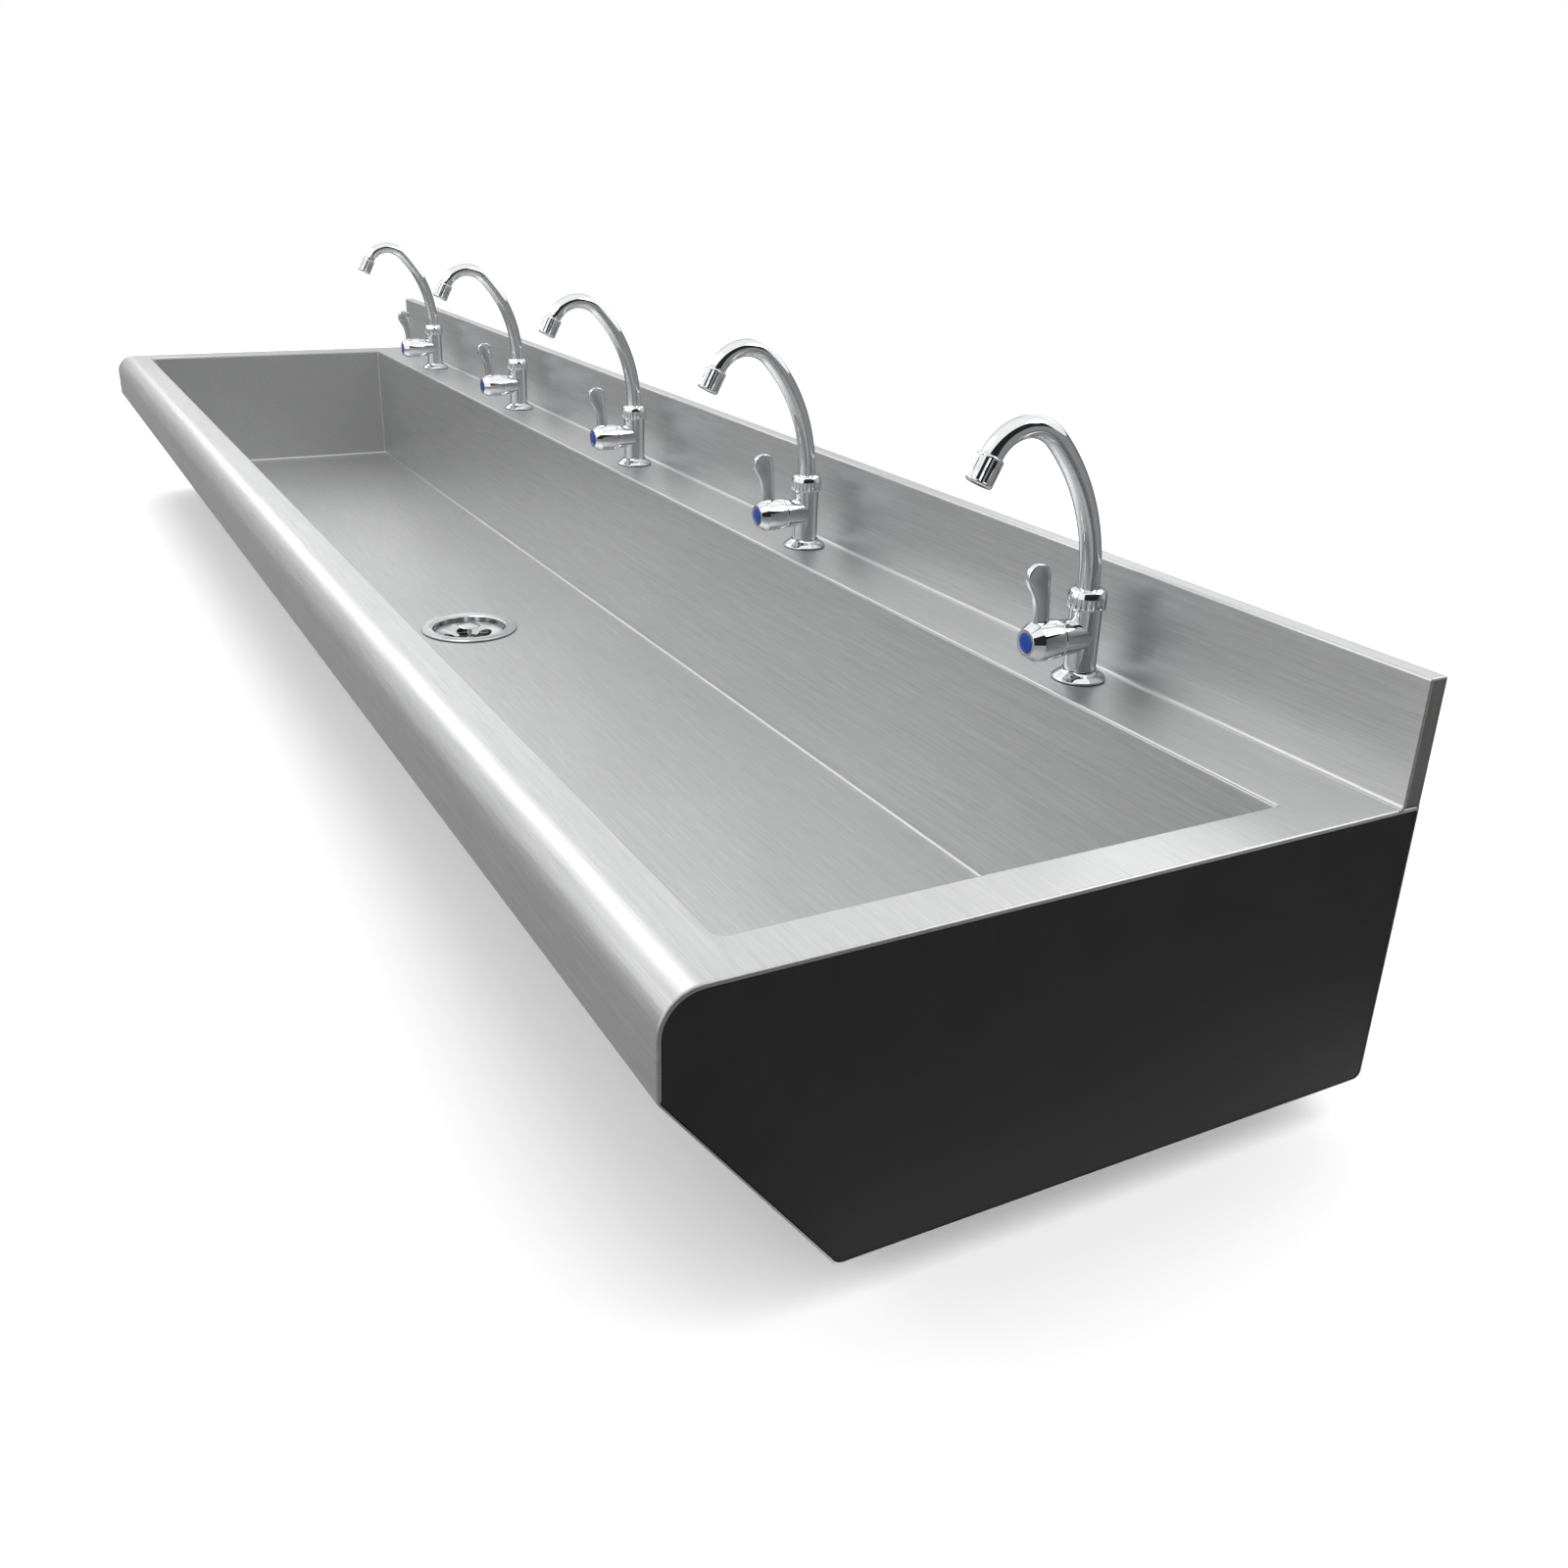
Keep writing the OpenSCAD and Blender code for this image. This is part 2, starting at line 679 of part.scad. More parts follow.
// The tube is drawn in stretches. The crook is a hair fatter, and its neighbours reach into it
module spout(i) color(chrome) at_tap(i) {
    translate([0, 0, spout_seat_z + seat_gap])
        linear_extrude(bend_z - spout_seat_z - seat_gap) tube_section();
    translate([0, 0, bead_seat_z + seat_gap]) linear_extrude(bead_t) difference() {
        circle(r = bead_r, $fn = small_fn);
        circle(r = spout_r - spout_wall / 2, $fn = small_fn);
    }
    translate([0, 0, bend_z]) bend(riser_bend_r, riser_angle + lap_angle);
    at_riser_end() bend(crook_bend_r, crook_angle, crook_grow);
    at_spout_tip() translate([0, 0, -tip_lap]) linear_extrude(spout_tip_l + tip_lap) tube_section();
}

module aerator(i) color(chrome) at_tap(i) at_spout_tip() {
    difference() {
        rotate_extrude($fn = round_fn) polygon([
            [spout_r + slip_gap, 0],
            [aerator_r - aerator_chamfer, 0],
            [aerator_r, aerator_chamfer],
            [aerator_r, aerator_l - aerator_chamfer],
            [aerator_r - aerator_chamfer, aerator_l],
            [aerator_bore_r, aerator_l],
            [aerator_bore_r, aerator_socket],
            [spout_r + slip_gap, aerator_socket]
        ]);
        for (k = [1:aerator_flutes]) rotate(k * 360 / aerator_flutes)
            translate([aerator_r + aerator_flute_out, 0, aerator_flute_inset])
                cylinder(r = aerator_flute_r, h = aerator_l - 2 * aerator_flute_inset, $fn = small_fn);
    }
    translate([0, 0, aerator_l - screen_inset - screen_t])
        cylinder(r = aerator_bore_r - slip_gap, h = screen_t, $fn = round_fn);
}

// Lever. Its turned hub is drawn along the valve axis from the seam forwards

hub_end = seam_y + hub_l;
cap_seat = hub_end - cap_t;

function bezier(p, t) =
    p[0] * pow(1 - t, 3) + p[1] * (3 * t * pow(1 - t, 2)) + p[2] * (3 * t * t * (1 - t)) + p[3] * pow(t, 3);

// The blade's outline as (distance ahead of the stem's back edge, height above the valve axis)
blade_low = hub_r - hub_wall + slip_gap;
blade_curve = [
    [stem_w, blade_low],
    [stem_w, head_rise * curve_low_share],
    [(head_lead + head_r) * curve_high_shares[0], head_rise * curve_high_shares[1]],
    [head_lead + head_r, head_rise]
];
blade_outline = concat(
    [[0, blade_low]],
    [for (k = [0:curve_steps]) bezier(blade_curve, k / curve_steps)],
    [for (k = [1:head_steps]) let (a = 180 * k / head_steps)
        [head_lead + head_r * cos(a), head_rise + head_r * sin(a)]]
);

module lever(i) color(chrome) at_tap(i) difference() {
    union() {
        at_valve() rotate_extrude($fn = round_fn) polygon([
            [0, seam_y],
            [hub_r - hub_back_chamfer, seam_y],
            [hub_r, seam_y + hub_back_chamfer],
            [hub_r, hub_end - hub_nose_l],
            [hub_nose_r, hub_end - slip_gap],
            [hub_nose_r - slip_gap, hub_end],
            [0, hub_end]
        ]);
        along_x(-blade_t / 2, blade_t / 2)
            polygon([for (p = blade_outline) [-stem_back - p[0], valve_z + p[1]]]);
    }
    at_valve() {
        translate([0, 0, seam_y - cut])
            cylinder(r = hub_r - hub_wall, h = hub_cavity_l + cut, $fn = round_fn);
        translate([0, 0, seam_y]) cylinder(r = spindle_r + turn_gap, h = hub_l, $fn = round_fn);
        translate([0, 0, cap_seat]) cylinder(r = cap_r + slip_gap, h = cap_t + cut, $fn = round_fn);
        translate([0, 0, seam_y + hub_cavity_l + hub_web_l])
            cylinder(r = screw_head_r + slip_gap, h = hub_l - hub_cavity_l - hub_web_l, $fn = round_fn);
    }
}

module index_cap(i) color(blue) at_tap(i) at_valve() translate([0, 0, cap_seat])
    rotate_extrude($fn = round_fn) polygon(concat([[0, 0], [cap_r, 0]], [
        for (k = [0:cap_steps]) let (s = k / cap_steps)
            [cap_r * cos(90 * s), cap_t + cap_dome * sin(90 * s)]
    ]));

module valve_spindle(i) color(brass) at_tap(i) at_valve() {
    difference() {
        translate([0, 0, spindle_start + seat_gap])
            cylinder(r = spindle_r, h = spindle_end - spindle_start - seat_gap, $fn = round_fn);
        translate([0, 0, spindle_end - screw_l - seat_gap])
            cylinder(r = screw_r + turn_gap, h = screw_l + seat_gap + cut, $fn = small_fn);
    }
    translate([0, 0, spindle_end - screw_l]) cylinder(r = screw_r, h = screw_l, $fn = small_fn);
    translate([0, 0, spindle_end]) cylinder(r = screw_head_r, h = screw_head_t, $fn = small_fn);
}

deck();
backsplash();
splash_end(-1);  // splash_end_left
splash_end(1);  // splash_end_right
back_panel();
skirt();
end_panel(-1);  // end_panel_left
end_panel(1);  // end_panel_right
basin_trough();
basin_end(-1);  // basin_end_left
basin_end(1);  // basin_end_right
tap_rail();
wall_rails();
floor_supports();
waste_body();
waste_gasket();
waste_under_washer();
waste_friction_ring();
waste_locknut();
strainer_basket();
strainer_knob();
strainer_seal();
tap_flanges();
tap_gaskets();
tap_backnuts();
tap_collars();
tap_cartridges();
tap_orings();
for (i = TAPS) {
    tap_body(i);
    spout(i);
    aerator(i);
    lever(i);
    index_cap(i);
    valve_spindle(i);
}
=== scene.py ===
"""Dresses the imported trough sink: sheets, bowl, waste, taps, finishes, studio and camera."""
import json
import math
from types import SimpleNamespace

import bmesh
import bpy
from bpy.props import FloatProperty, FloatVectorProperty, PointerProperty
from mathutils import Matrix, Vector


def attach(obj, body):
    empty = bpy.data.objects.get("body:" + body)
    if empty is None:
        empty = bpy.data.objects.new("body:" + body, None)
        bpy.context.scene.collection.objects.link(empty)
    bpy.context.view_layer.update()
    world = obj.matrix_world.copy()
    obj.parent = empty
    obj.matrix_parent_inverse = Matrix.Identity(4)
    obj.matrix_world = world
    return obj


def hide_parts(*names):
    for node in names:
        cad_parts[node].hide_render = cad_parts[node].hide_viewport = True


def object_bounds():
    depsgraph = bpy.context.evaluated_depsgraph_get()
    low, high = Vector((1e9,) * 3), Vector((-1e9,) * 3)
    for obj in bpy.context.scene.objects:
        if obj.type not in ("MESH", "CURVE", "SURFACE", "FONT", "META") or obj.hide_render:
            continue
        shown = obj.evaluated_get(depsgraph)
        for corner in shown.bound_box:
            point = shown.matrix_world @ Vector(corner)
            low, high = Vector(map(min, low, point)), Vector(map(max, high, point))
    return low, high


bl_info = {
    "name": "Trough sink with taps",
    "version": (1, 0, 0),
    "blender": (4, 5, 0),
    "location": "3D View > Sidebar > Trough sink",
    "description": "Dresses a wall-hung wash trough with its taps, waste and studio",
    "category": "Add Mesh",
}

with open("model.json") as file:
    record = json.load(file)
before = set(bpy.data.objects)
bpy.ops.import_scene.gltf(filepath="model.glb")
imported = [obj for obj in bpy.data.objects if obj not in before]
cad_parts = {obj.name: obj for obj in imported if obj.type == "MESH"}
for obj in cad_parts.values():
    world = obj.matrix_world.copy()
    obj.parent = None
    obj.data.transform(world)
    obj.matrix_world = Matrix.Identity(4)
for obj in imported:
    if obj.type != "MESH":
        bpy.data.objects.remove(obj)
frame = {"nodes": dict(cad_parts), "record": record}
cad_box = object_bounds()

MM = 0.001
TAPS = range(1, 6)
MIDDLE_TAP = 3

X, Y, Z = Vector((1, 0, 0)), Vector((0, 1, 0)), Vector((0, 0, 1))

# Steps in those bends that more than one function counts
NOSE_STEPS = 14
FOOT_STEPS = 8

# Points of a drawing that lie this close, in millimetres, become one
MERGE = 1e-4

# Sizes and colours that a user may change


def length(name, description, mm):
    return FloatProperty(name=name, description=description, default=mm * MM, unit="LENGTH",
                         subtype="DISTANCE", precision=5)


def bend(name, description, degrees):
    return FloatProperty(name=name, description=description, default=math.radians(degrees),
                         unit="ROTATION", subtype="ANGLE")


def colour(name, description, value):
    return FloatVectorProperty(name=name, description=description, default=value, subtype="COLOR",
                               size=3, min=0, max=1)


def in_mm(group):
    """A group's values, with the lengths in millimetres."""
    values = SimpleNamespace()
    for key in group.__annotations__:
        is_length = group.bl_rna.properties[key].unit == "LENGTH"
        setattr(values, key, getattr(group, key) / (MM if is_length else 1))
    return values


class CasingSizes(bpy.types.PropertyGroup):
    """Lines of the casing's bent sheets"""
    half_l: length("Half length", "Middle of the trough to an end", cad_box[1].x / MM)
    depth: length("Depth", "Wall to the front of the nose", 635)
    deck_z: length("Deck height", "Deck above the fixing centre", 133)
    bottom_z: length("Bottom height", "Casing bottom above the fixing centre", -115)
    bottom_d: length("Bottom depth", "Wall to the fold at the casing's foot", 503)
    apron_h: length("Apron", "Height of the upright front", 75)
    lap: length("Lap", "Deck sheet's return below the apron", 25)
    sheet_t: length("Sheet", "Thickness of the sheets", 1.5)
    nose_r: length("Nose radius", "Radius of the front edge", 32)
    apron_r: length("Apron fold", "Radius of the fold at the apron's foot", 8)
    foot_r: length("Foot fold", "Radius of the fold at the casing's foot", 12)
    rear_r: length("Rear fold", "Radius of the fold along the wall", 8)
    end_fold: length("End fold", "Radius at which the deck sheet turns over its end", 2.8)
    end_lip: length("End lip", "Flat return beyond the deck's end fold", 0.4)
    thin_fold: length("Thin fold", "The same radius on the lower casing and the back", 1.0)
    thin_lip: length("Thin lip", "Flat return beyond that fold", 0.4)
    panel_t: length("Panel", "Thickness of an end panel", 2.1)
    panel_in: length("Panel recess", "Trough's end to the panel's face", 0.5)
    panel_gap: length("Panel gap", "Shadow gap round an end panel", 0.6)
    splash_h: length("Splashback", "Height of the splashback", 105)
    splash_t: length("Splashback depth", "Wall to its front face", 18)
    splash_sheet: length("Splashback sheet", "Thickness of its sheet", 1.2)
    splash_rear_r: length("Splashback rear fold", "Radius of the top fold at the wall", 2.5)
    splash_front_r: length("Splashback front fold", "Radius of the top fold in front", 2.8)
    splash_fold: length("Splashback end fold", "Radius at which it turns over its end", 1.7)
    cap_gap: length("Cap inset", "Splashback's outline to that of its end cap", 2.2)
    cove: length("Cove", "Radius between splashback and deck", 4)
    slot_half: length("Slot", "Middle of the service slot to its end", 1300)
    slot_front: length("Slot front", "Wall to the service slot's front edge", 105)
    slot_rear: length("Slot rear", "Wall to the service slot's rear edge", 30)
    slot_r: length("Slot corner", "Radius of the service slot's corners", 6)
    access_r: length("Waste opening", "Radius of the opening under the waste", 80)
    bolt_x: length("Bolt place", "Middle to an outer wall bolt", 1100)
    bolt_z: length("Bolt height", "Fixing centre to a wall bolt", 55)
    bolt_r: length("Bolt hole", "Radius of a wall bolt's hole", 6)


class BowlSizes(bpy.types.PropertyGroup):
    """The bowl, inside its sheet"""
    half_l: length("Half length", "Middle of the bowl to an end wall", 1353)
    back: length("Back wall", "Wall plane to the bowl's back wall", 100.5)
    front: length("Front edge", "Wall plane to the opening's front edge", 573.5)
    lean: length("Lean", "How far the front wall runs in towards the floor", 68)
    floor_z: length("Floor height", "Bowl floor above the fixing centre", -93)
    front_r: length("Front corner", "Radius of the front corners", 10)
    back_r: length("Rear corner", "Radius of the rear corners", 2.5)
    edge_r: length("Opening edge", "Radius of the fold round the opening", 2)
    floor_r: length("Floor cove", "Radius between floor and walls", 4)


class WasteSizes(bpy.types.PropertyGroup):
    """The waste fitting and its strainer"""
    y: length("Place", "Wall plane to the waste", 323)
    flange_r: length("Flange radius", "Outer radius of the flange", 70)
    cup_r: length("Cup radius", "Inner radius of the cup", 52.5)
    neck_t: length("Neck", "Wall of the cup where it passes the bowl floor", 1.5)
    basket_depth: length("Basket depth", "Bowl floor to the basket's floor", 16)
    knob_r: length("Knob radius", "Radius of the knob", 17)


class TapSizes(bpy.types.PropertyGroup):
    """One tap, drawn about its column with the deck at zero"""
    pitch: length("Pitch", "Distance between taps", 528)
    y: length("Place", "Wall plane to the columns", 54.5)
    flange_r: length("Flange radius", "Outer radius of the deck flange", 25)
    shank_r: length("Shank radius", "Radius of the threaded shank", 10.5)
    seat_r: length("Seat radius", "Radius of the column's foot inside the flange", 19.5)
    gasket_t: length("Gasket", "Thickness of the gasket under the flange", 0.8)
    column_r: length("Column radius", "Radius of the column", 15)
    column_h: length("Column height", "Deck to the column's top", 80)
    valve_z: length("Valve height", "Deck to the valve axis", 42)
    collar_r: length("Collar radius", "Radius of the fluted collar", 18)
    spout_r: length("Spout radius", "Outer radius of the tube", 10)
    bend_z: length("Bend height", "Deck to the start of the tube's bend", 90)
    riser_r: length("Riser radius", "Radius of the long bend", 192)
    riser_turn: bend("Riser bend", "Angle of the long bend", 44)
    crook_r: length("Crook radius", "Radius of the tight bend", 42)
    crook_turn: bend("Crook bend", "Angle of the tight bend", 108.5)
    nozzle_r: length("Nozzle radius", "Radius of the aerator", 12.4)
    nozzle_l: length("Nozzle length", "Length of the aerator", 26)
    hub_r: length("Hub radius", "Radius of the lever's hub", 18.3)
    hub_front: length("Hub front", "Column axis to the hub's front face", 66)
    cap_seat: length("Cap seat", "Column axis to the floor of the cap's pocket", 60.3)
    blade_t: length("Blade", "Thickness of the lever's blade", 6.5)
    cap_r: length("Cap radius", "Radius of the coloured cap", 9.2)


class FinishColours(bpy.types.PropertyGroup):
    """Base colours of the finishes"""
    sheet: colour("Sheet", "Brushed stainless sheet", (0.56, 0.562, 0.565))
    # The fold colour is a painted highlight: bends, end turnovers and the bowl's floor cove painted
    # near-white so that they look lit.
    fold: colour("Folds", "Folds and seams, ground bright", (0.97, 0.972, 0.975))
    # The seam colour is painted shade: a near-black line round the bowl opening's fold that stands in for
    # shade there.
    seam: colour("Seam line", "The fine line where bowl and deck are joined", (0.035, 0.035, 0.035))
    # The splashback end colour is painted shade: stainless darkened to stand in for the shade on the end
    # faces.
    splash_end: colour("Splashback end", "Dark satin sheet", (0.27, 0.27, 0.265))
    mill: colour("Inner rails", "Plain mill finish", (0.58, 0.58, 0.58))
    panel: colour("End panel", "Matte charcoal", (0.0108, 0.0108, 0.011))
    waste: colour("Waste", "Polished stainless", (0.64, 0.645, 0.65))
    chrome: colour("Taps", "Bright chrome", (0.86, 0.87, 0.89))
    brass: colour("Valve brass", "Turned brass", (0.72, 0.56, 0.27))
    rubber: colour("Rubber", "Black rubber", (0.012, 0.012, 0.012))
    nylon: colour("Nylon", "Moulded grey nylon", (0.17, 0.18, 0.19))
    blue: colour("Index cap", "Deep blue gloss", (0.012, 0.055, 0.29))


# Flat lines, as lists of two-part vectors


def left_of(v):
    return Vector((-v[1], v[0]))


def offset_line(points, distance, closed=False):
    """The line moved to its left, mitred at its corners."""
    out = []
    last = len(points) - 1
    for i, p in enumerate(points):
        before = points[i - 1] if i or closed else None
        after = points[(i + 1) % len(points)] if i < last or closed else None
        a = (p - before).normalized() if before is not None else (after - p).normalized()
        b = (after - p).normalized() if after is not None else a
        mitre = left_of(a) + left_of(b)
        out.append(p + mitre * (2 * distance / mitre.dot(mitre)))
    return out


def corner(before, p, after, radius, steps):
    """The points of an arc that rounds corner p."""
    u = (before - p).normalized()
    v = (after - p).normalized()
    half = math.acos(max(-1, min(1, u.dot(v)))) / 2
    if radius <= 0 or math.pi - 2 * half < 1e-4:
        return [p]
    centre = p + (u + v).normalized() * (radius / math.sin(half))
    start = p + u * (radius / math.tan(half)) - centre
    end = p + v * (radius / math.tan(half)) - centre
    turn = math.pi - 2 * half
    shares = [(math.sin(turn * (1 - k / steps)), math.sin(turn * k / steps)) for k in range(steps + 1)]
    return [centre + (start * a + end * b) / math.sin(turn) for a, b in shares]


def rounded(points, radii, steps=6, closed=False):
    """A line with its corners rounded; an open line keeps its two ends."""
    points = [Vector(p) for p in points]
    if closed:
        return [q for i, p in enumerate(points)
                for q in corner(points[i - 1], p, points[(i + 1) % len(points)], radii[i], steps)]
    inner = [q for i in range(1, len(points) - 1)
             for q in corner(points[i - 1], points[i], points[i + 1], radii[i - 1], steps)]
    return [points[0]] + inner + [points[-1]]


def quarter(steps):
    """Angles from zero to a quarter turn."""
    return [math.pi / 2 * k / steps for k in range(steps + 1)]


def circle(centre, across, up, radius, count):
    """Points round a circle whose plane holds the directions across and up."""
    turn = [2 * math.pi * k / count for k in range(count)]
    return [centre + radius * (math.cos(a) * across + math.sin(a) * up) for a in turn]


def thread(radius, depth, start, pitch, count):
    """A profile that goes from crest to root and back, in (radius, height) points."""
    return [(radius - depth * (k % 2), start + pitch * k) for k in range(count)]


# Meshes, drawn in millimetres


def loft(bm, rows, ring=False, loop=False, skip=(), paint=None):
    """Quads between rows of points. ring closes each row and loop joins the last row to the first.
    paint gives the material of the quad after row i and point k."""
    made = [[bm.verts.new(p) for p in row] for row in rows]
    pairs = list(zip(made, made[1:] + (made[:1] if loop else [])))
    for i, (low, high) in enumerate(pairs):
        count = len(low)
        for k in range(count if ring else count - 1):
            if (i, k) not in skip:
                j = (k + 1) % count
                face = bm.faces.new((low[k], low[j], high[j], high[k]))
                face.material_index = paint(i, k) if paint else 0
    return made


def fill(bm, loops, normal):
    """Fills the flat region between closed rows of points with triangles."""
    edges = []
    for verts in loops:
        for a, b in zip(verts, verts[1:] + verts[:1]):
            edges.append(bm.edges.get((a, b)) or bm.edges.new((a, b)))
    bmesh.ops.triangle_fill(bm, use_beauty=True, edges=edges, normal=normal)


def linked(name, data):
    """A new object in the scene."""
    obj = bpy.data.objects.new(name, data)
    bpy.context.scene.collection.objects.link(obj)
    return obj


def smooth(mesh, sharp):
    """Smooth shading, with corners above that angle kept hard."""
    mesh.polygons.foreach_set("use_smooth", [True] * len(mesh.polygons))
    mesh.set_sharp_from_angle(angle=math.radians(sharp))


def add_object(name, bm, sharp=35):
    """Scales a drawing to metres and makes an object of it."""
    bmesh.ops.remove_doubles(bm, verts=bm.verts, dist=MERGE)
    bmesh.ops.dissolve_degenerate(bm, edges=bm.edges, dist=MERGE / 10)
    bmesh.ops.scale(bm, vec=(MM, MM, MM), verts=bm.verts)
    mesh = bpy.data.meshes.new(name)
    bm.to_mesh(mesh)
    bm.free()
    smooth(mesh, sharp)
    return linked(name, mesh)


def turned(bm, section, segments=96, closed=True, shape=None, axis=None):
    """Turns a section of (radius, height) points. shape may change the radius with the angle."""
    rows = []
    for r, z in section:
        row = []
        for k in range(segments):
            angle = 2 * math.pi * k / segments
            radius = shape(r, z, angle) if shape else r
            row.append(Vector((radius * math.cos(angle), radius * math.sin(angle), z)))
        rows.append([axis @ p for p in row] if axis else row)
    loft(bm, rows, ring=True, loop=closed)
    bmesh.ops.remove_doubles(bm, verts=bm.verts, dist=MERGE)
    bmesh.ops.recalc_face_normals(bm, faces=bm.faces)


def plate(bm, outline, x_in, x_out, edge_r, steps=3):
    """A plate across X with a closed (Y, Z) outline and an eased front edge."""
    side = 1 if x_out > x_in else -1
    stations = [(0, x_in)]
    for a in quarter(steps):
        stations.append((edge_r * (1 - math.cos(a)), x_out - side * edge_r * (1 - math.sin(a))))
    solid_across(bm, outline, stations, side)


def solid_across(bm, outline, stations, side=1):
    """A closed solid along X from the outline, drawn in by the inset of each (inset, X) station."""
    rows = [[(x, p[0], p[1]) for p in offset_line(outline, inset, closed=True)] for inset, x in stations]
    made = loft(bm, rows, ring=True)
    fill(bm, [made[0]], (-side, 0, 0))
    fill(bm, [made[-1]], (side, 0, 0))
    bmesh.ops.recalc_face_normals(bm, faces=bm.faces)


def combine(obj, other, operation):
    """Joins another object to this one, or cuts it away, and removes the other."""
    modifier = obj.modifiers.new("combine", "BOOLEAN")
    modifier.object = other
    modifier.operation = operation
    modifier.solver = "EXACT"
    depsgraph = bpy.context.evaluated_depsgraph_get()
    mesh = bpy.data.meshes.new_from_object(obj.evaluated_get(depsgraph))
    old = obj.data
    obj.modifiers.clear()
    obj.data = mesh
    bpy.data.meshes.remove(old)
    bpy.data.objects.remove(other)
    smooth(mesh, 30)


def thicken(obj, mm):
    """Gives an open skin its sheet thickness, away from its face, and even shading."""
    solid = obj.modifiers.new("thickness", "SOLIDIFY")
    solid.thickness = mm * MM
    solid.offset = -1
    solid.use_even_offset = True
    solid.thickness_clamp = 0
    even_shading(obj)


def even_shading(obj):
    """Shading that follows the large faces, so that flats beside small bends look flat."""
    weighted = obj.modifiers.new("shading", "WEIGHTED_NORMAL")
    weighted.weight = 80
    weighted.keep_sharp = True


def put(obj, body, slot, nodes, *materials):
    """Paints a piece, lets it ride on its body and hides the CAD nodes that it stands for."""
    obj.data.materials.clear()
    for name in materials or (slot,):
        obj.data.materials.append(finish(name))
    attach(obj, body)
    if nodes:
        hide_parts(*nodes)


# Shader maths


class Wire:
    """A shader value that can be used in plain sums."""

    def __init__(self, paint, socket):
        self.paint = paint
        self.socket = socket

    def out(self, name):
        """Another output of the same node."""
        return Wire(self.paint, self.socket.node.outputs[name])

    def _math(self, operation, *values):
        return self.paint.node("ShaderNodeMath", {"operation": operation}, *values)

    def __add__(self, other):
        return self._math("ADD", self, other)

    def __radd__(self, other):
        return self._math("ADD", other, self)

    def __mul__(self, other):
        return self._math("MULTIPLY", self, other)

    def __rmul__(self, other):
        return self._math("MULTIPLY", other, self)


class Paint:
    """One node tree under construction."""

    def __init__(self, tree):
        self.tree = tree
        tree.nodes.clear()

    def node(self, kind, settings=None, *values, **named):
        """A new node: its settings first, then the values or links of its sockets."""
        made = self.tree.nodes.new(kind)
        for key, value in (settings or {}).items():
            setattr(made, key, value)
        for socket, value in zip([s for s in made.inputs if s.enabled], values):
            self._feed(socket, value)
        for key, value in named.items():
            self._feed(made.inputs[key.replace("_", " ")], value)
        return Wire(self, next((s for s in made.outputs if s.enabled), None))

    def _feed(self, socket, value):
        if isinstance(value, Wire):
            self.tree.links.new(value.socket, socket)
        elif value is not None:
            socket.default_value = value

    def shade(self, factor, base, dark, light):
        """A base colour between two levels of itself."""
        return self.node("ShaderNodeMix", {"data_type": "RGBA"}, factor, rgba(base, dark), rgba(base, light))

    def noise(self, grain, detail, gain):
        """Noise through the object, with the cycles in a metre along each axis."""
        coords = self.node("ShaderNodeTexCoord").out("Object")
        stretched = self.node("ShaderNodeMapping", None, coords, Scale=grain)
        return self.node("ShaderNodeTexNoise", None, Vector=stretched, Scale=1.0,
                         Detail=detail, Roughness=gain)

    def bump(self, strength, height):
        return self.node("ShaderNodeBump", None, Strength=strength, Distance=0.1 * MM, Height=height)

    def surface(self, **sockets):
        """The finish itself, with its values or links."""
        shader = self.node("ShaderNodeBsdfPrincipled", None, **sockets)
        self.node("ShaderNodeOutputMaterial", None, shader)


def rgba(value, level=1.0):
    return (value[0] * level, value[1] * level, value[2] * level, 1)


# Finishes


def brushed(paint, base, grain, roughness, depth=1.0):
    """Steel brushed along the axis on which grain is small."""
    fine = paint.noise(grain, 3.0, 0.6)
    broad = paint.noise([g * 0.28 for g in grain], 2.0, 0.5)
    patch = paint.noise((1.6, 3.5, 3.5), 3.0, 0.55)
    streak = fine * 0.75 + broad * 0.25
    tone = paint.shade(streak * 0.8 + patch * 0.2, base, 0.58, 1.42)
    paint.surface(Base_Color=tone, Metallic=0.92, Roughness=streak * 0.16 + (roughness - 0.08),
                  Normal=paint.bump(0.30 * depth, fine))


def clouded(paint, base, grain, levels, roughness, detail=3.0, gain=0.6, **sockets):
    """A finish whose shade and roughness follow one fine noise. levels holds the darkest and lightest
    shade, and roughness the least and how much the noise adds."""
    haze = paint.noise(grain, detail, gain)
    tone = paint.shade(haze, base, *levels)
    paint.surface(Base_Color=tone, Roughness=haze * roughness[1] + roughness[0], **sockets)


def sheet_along(paint, colours):
    brushed(paint, colours.sheet, (16, 880, 880), 0.39)


def sheet_across(paint, colours):
    brushed(paint, colours.sheet, (880, 16, 880), 0.39)


# Painted shade: brushed stainless darkened for the splashback's end caps.
def splash_end_painted_shade(paint, colours):
    brushed(paint, colours.splash_end, (900, 900, 22), 0.42)


def mill_steel(paint, colours):
    brushed(paint, colours.mill, (60, 300, 300), 0.42, 0.5)


# Painted highlight: near-white steel for the bends, so that they look as if they catch the light.
def bright_fold(paint, colours):
    clouded(paint, colours.fold, (60, 60, 60), (0.94, 1.02), (0.26, 0.08), Metallic=0.95)


# Painted shade: a near-black line along the bowl opening's fold.
def seam_line(paint, colours):
    clouded(paint, colours.seam, (300, 300, 300), (0.8, 1.3), (0.55, 0.1), 2.0, 0.5)


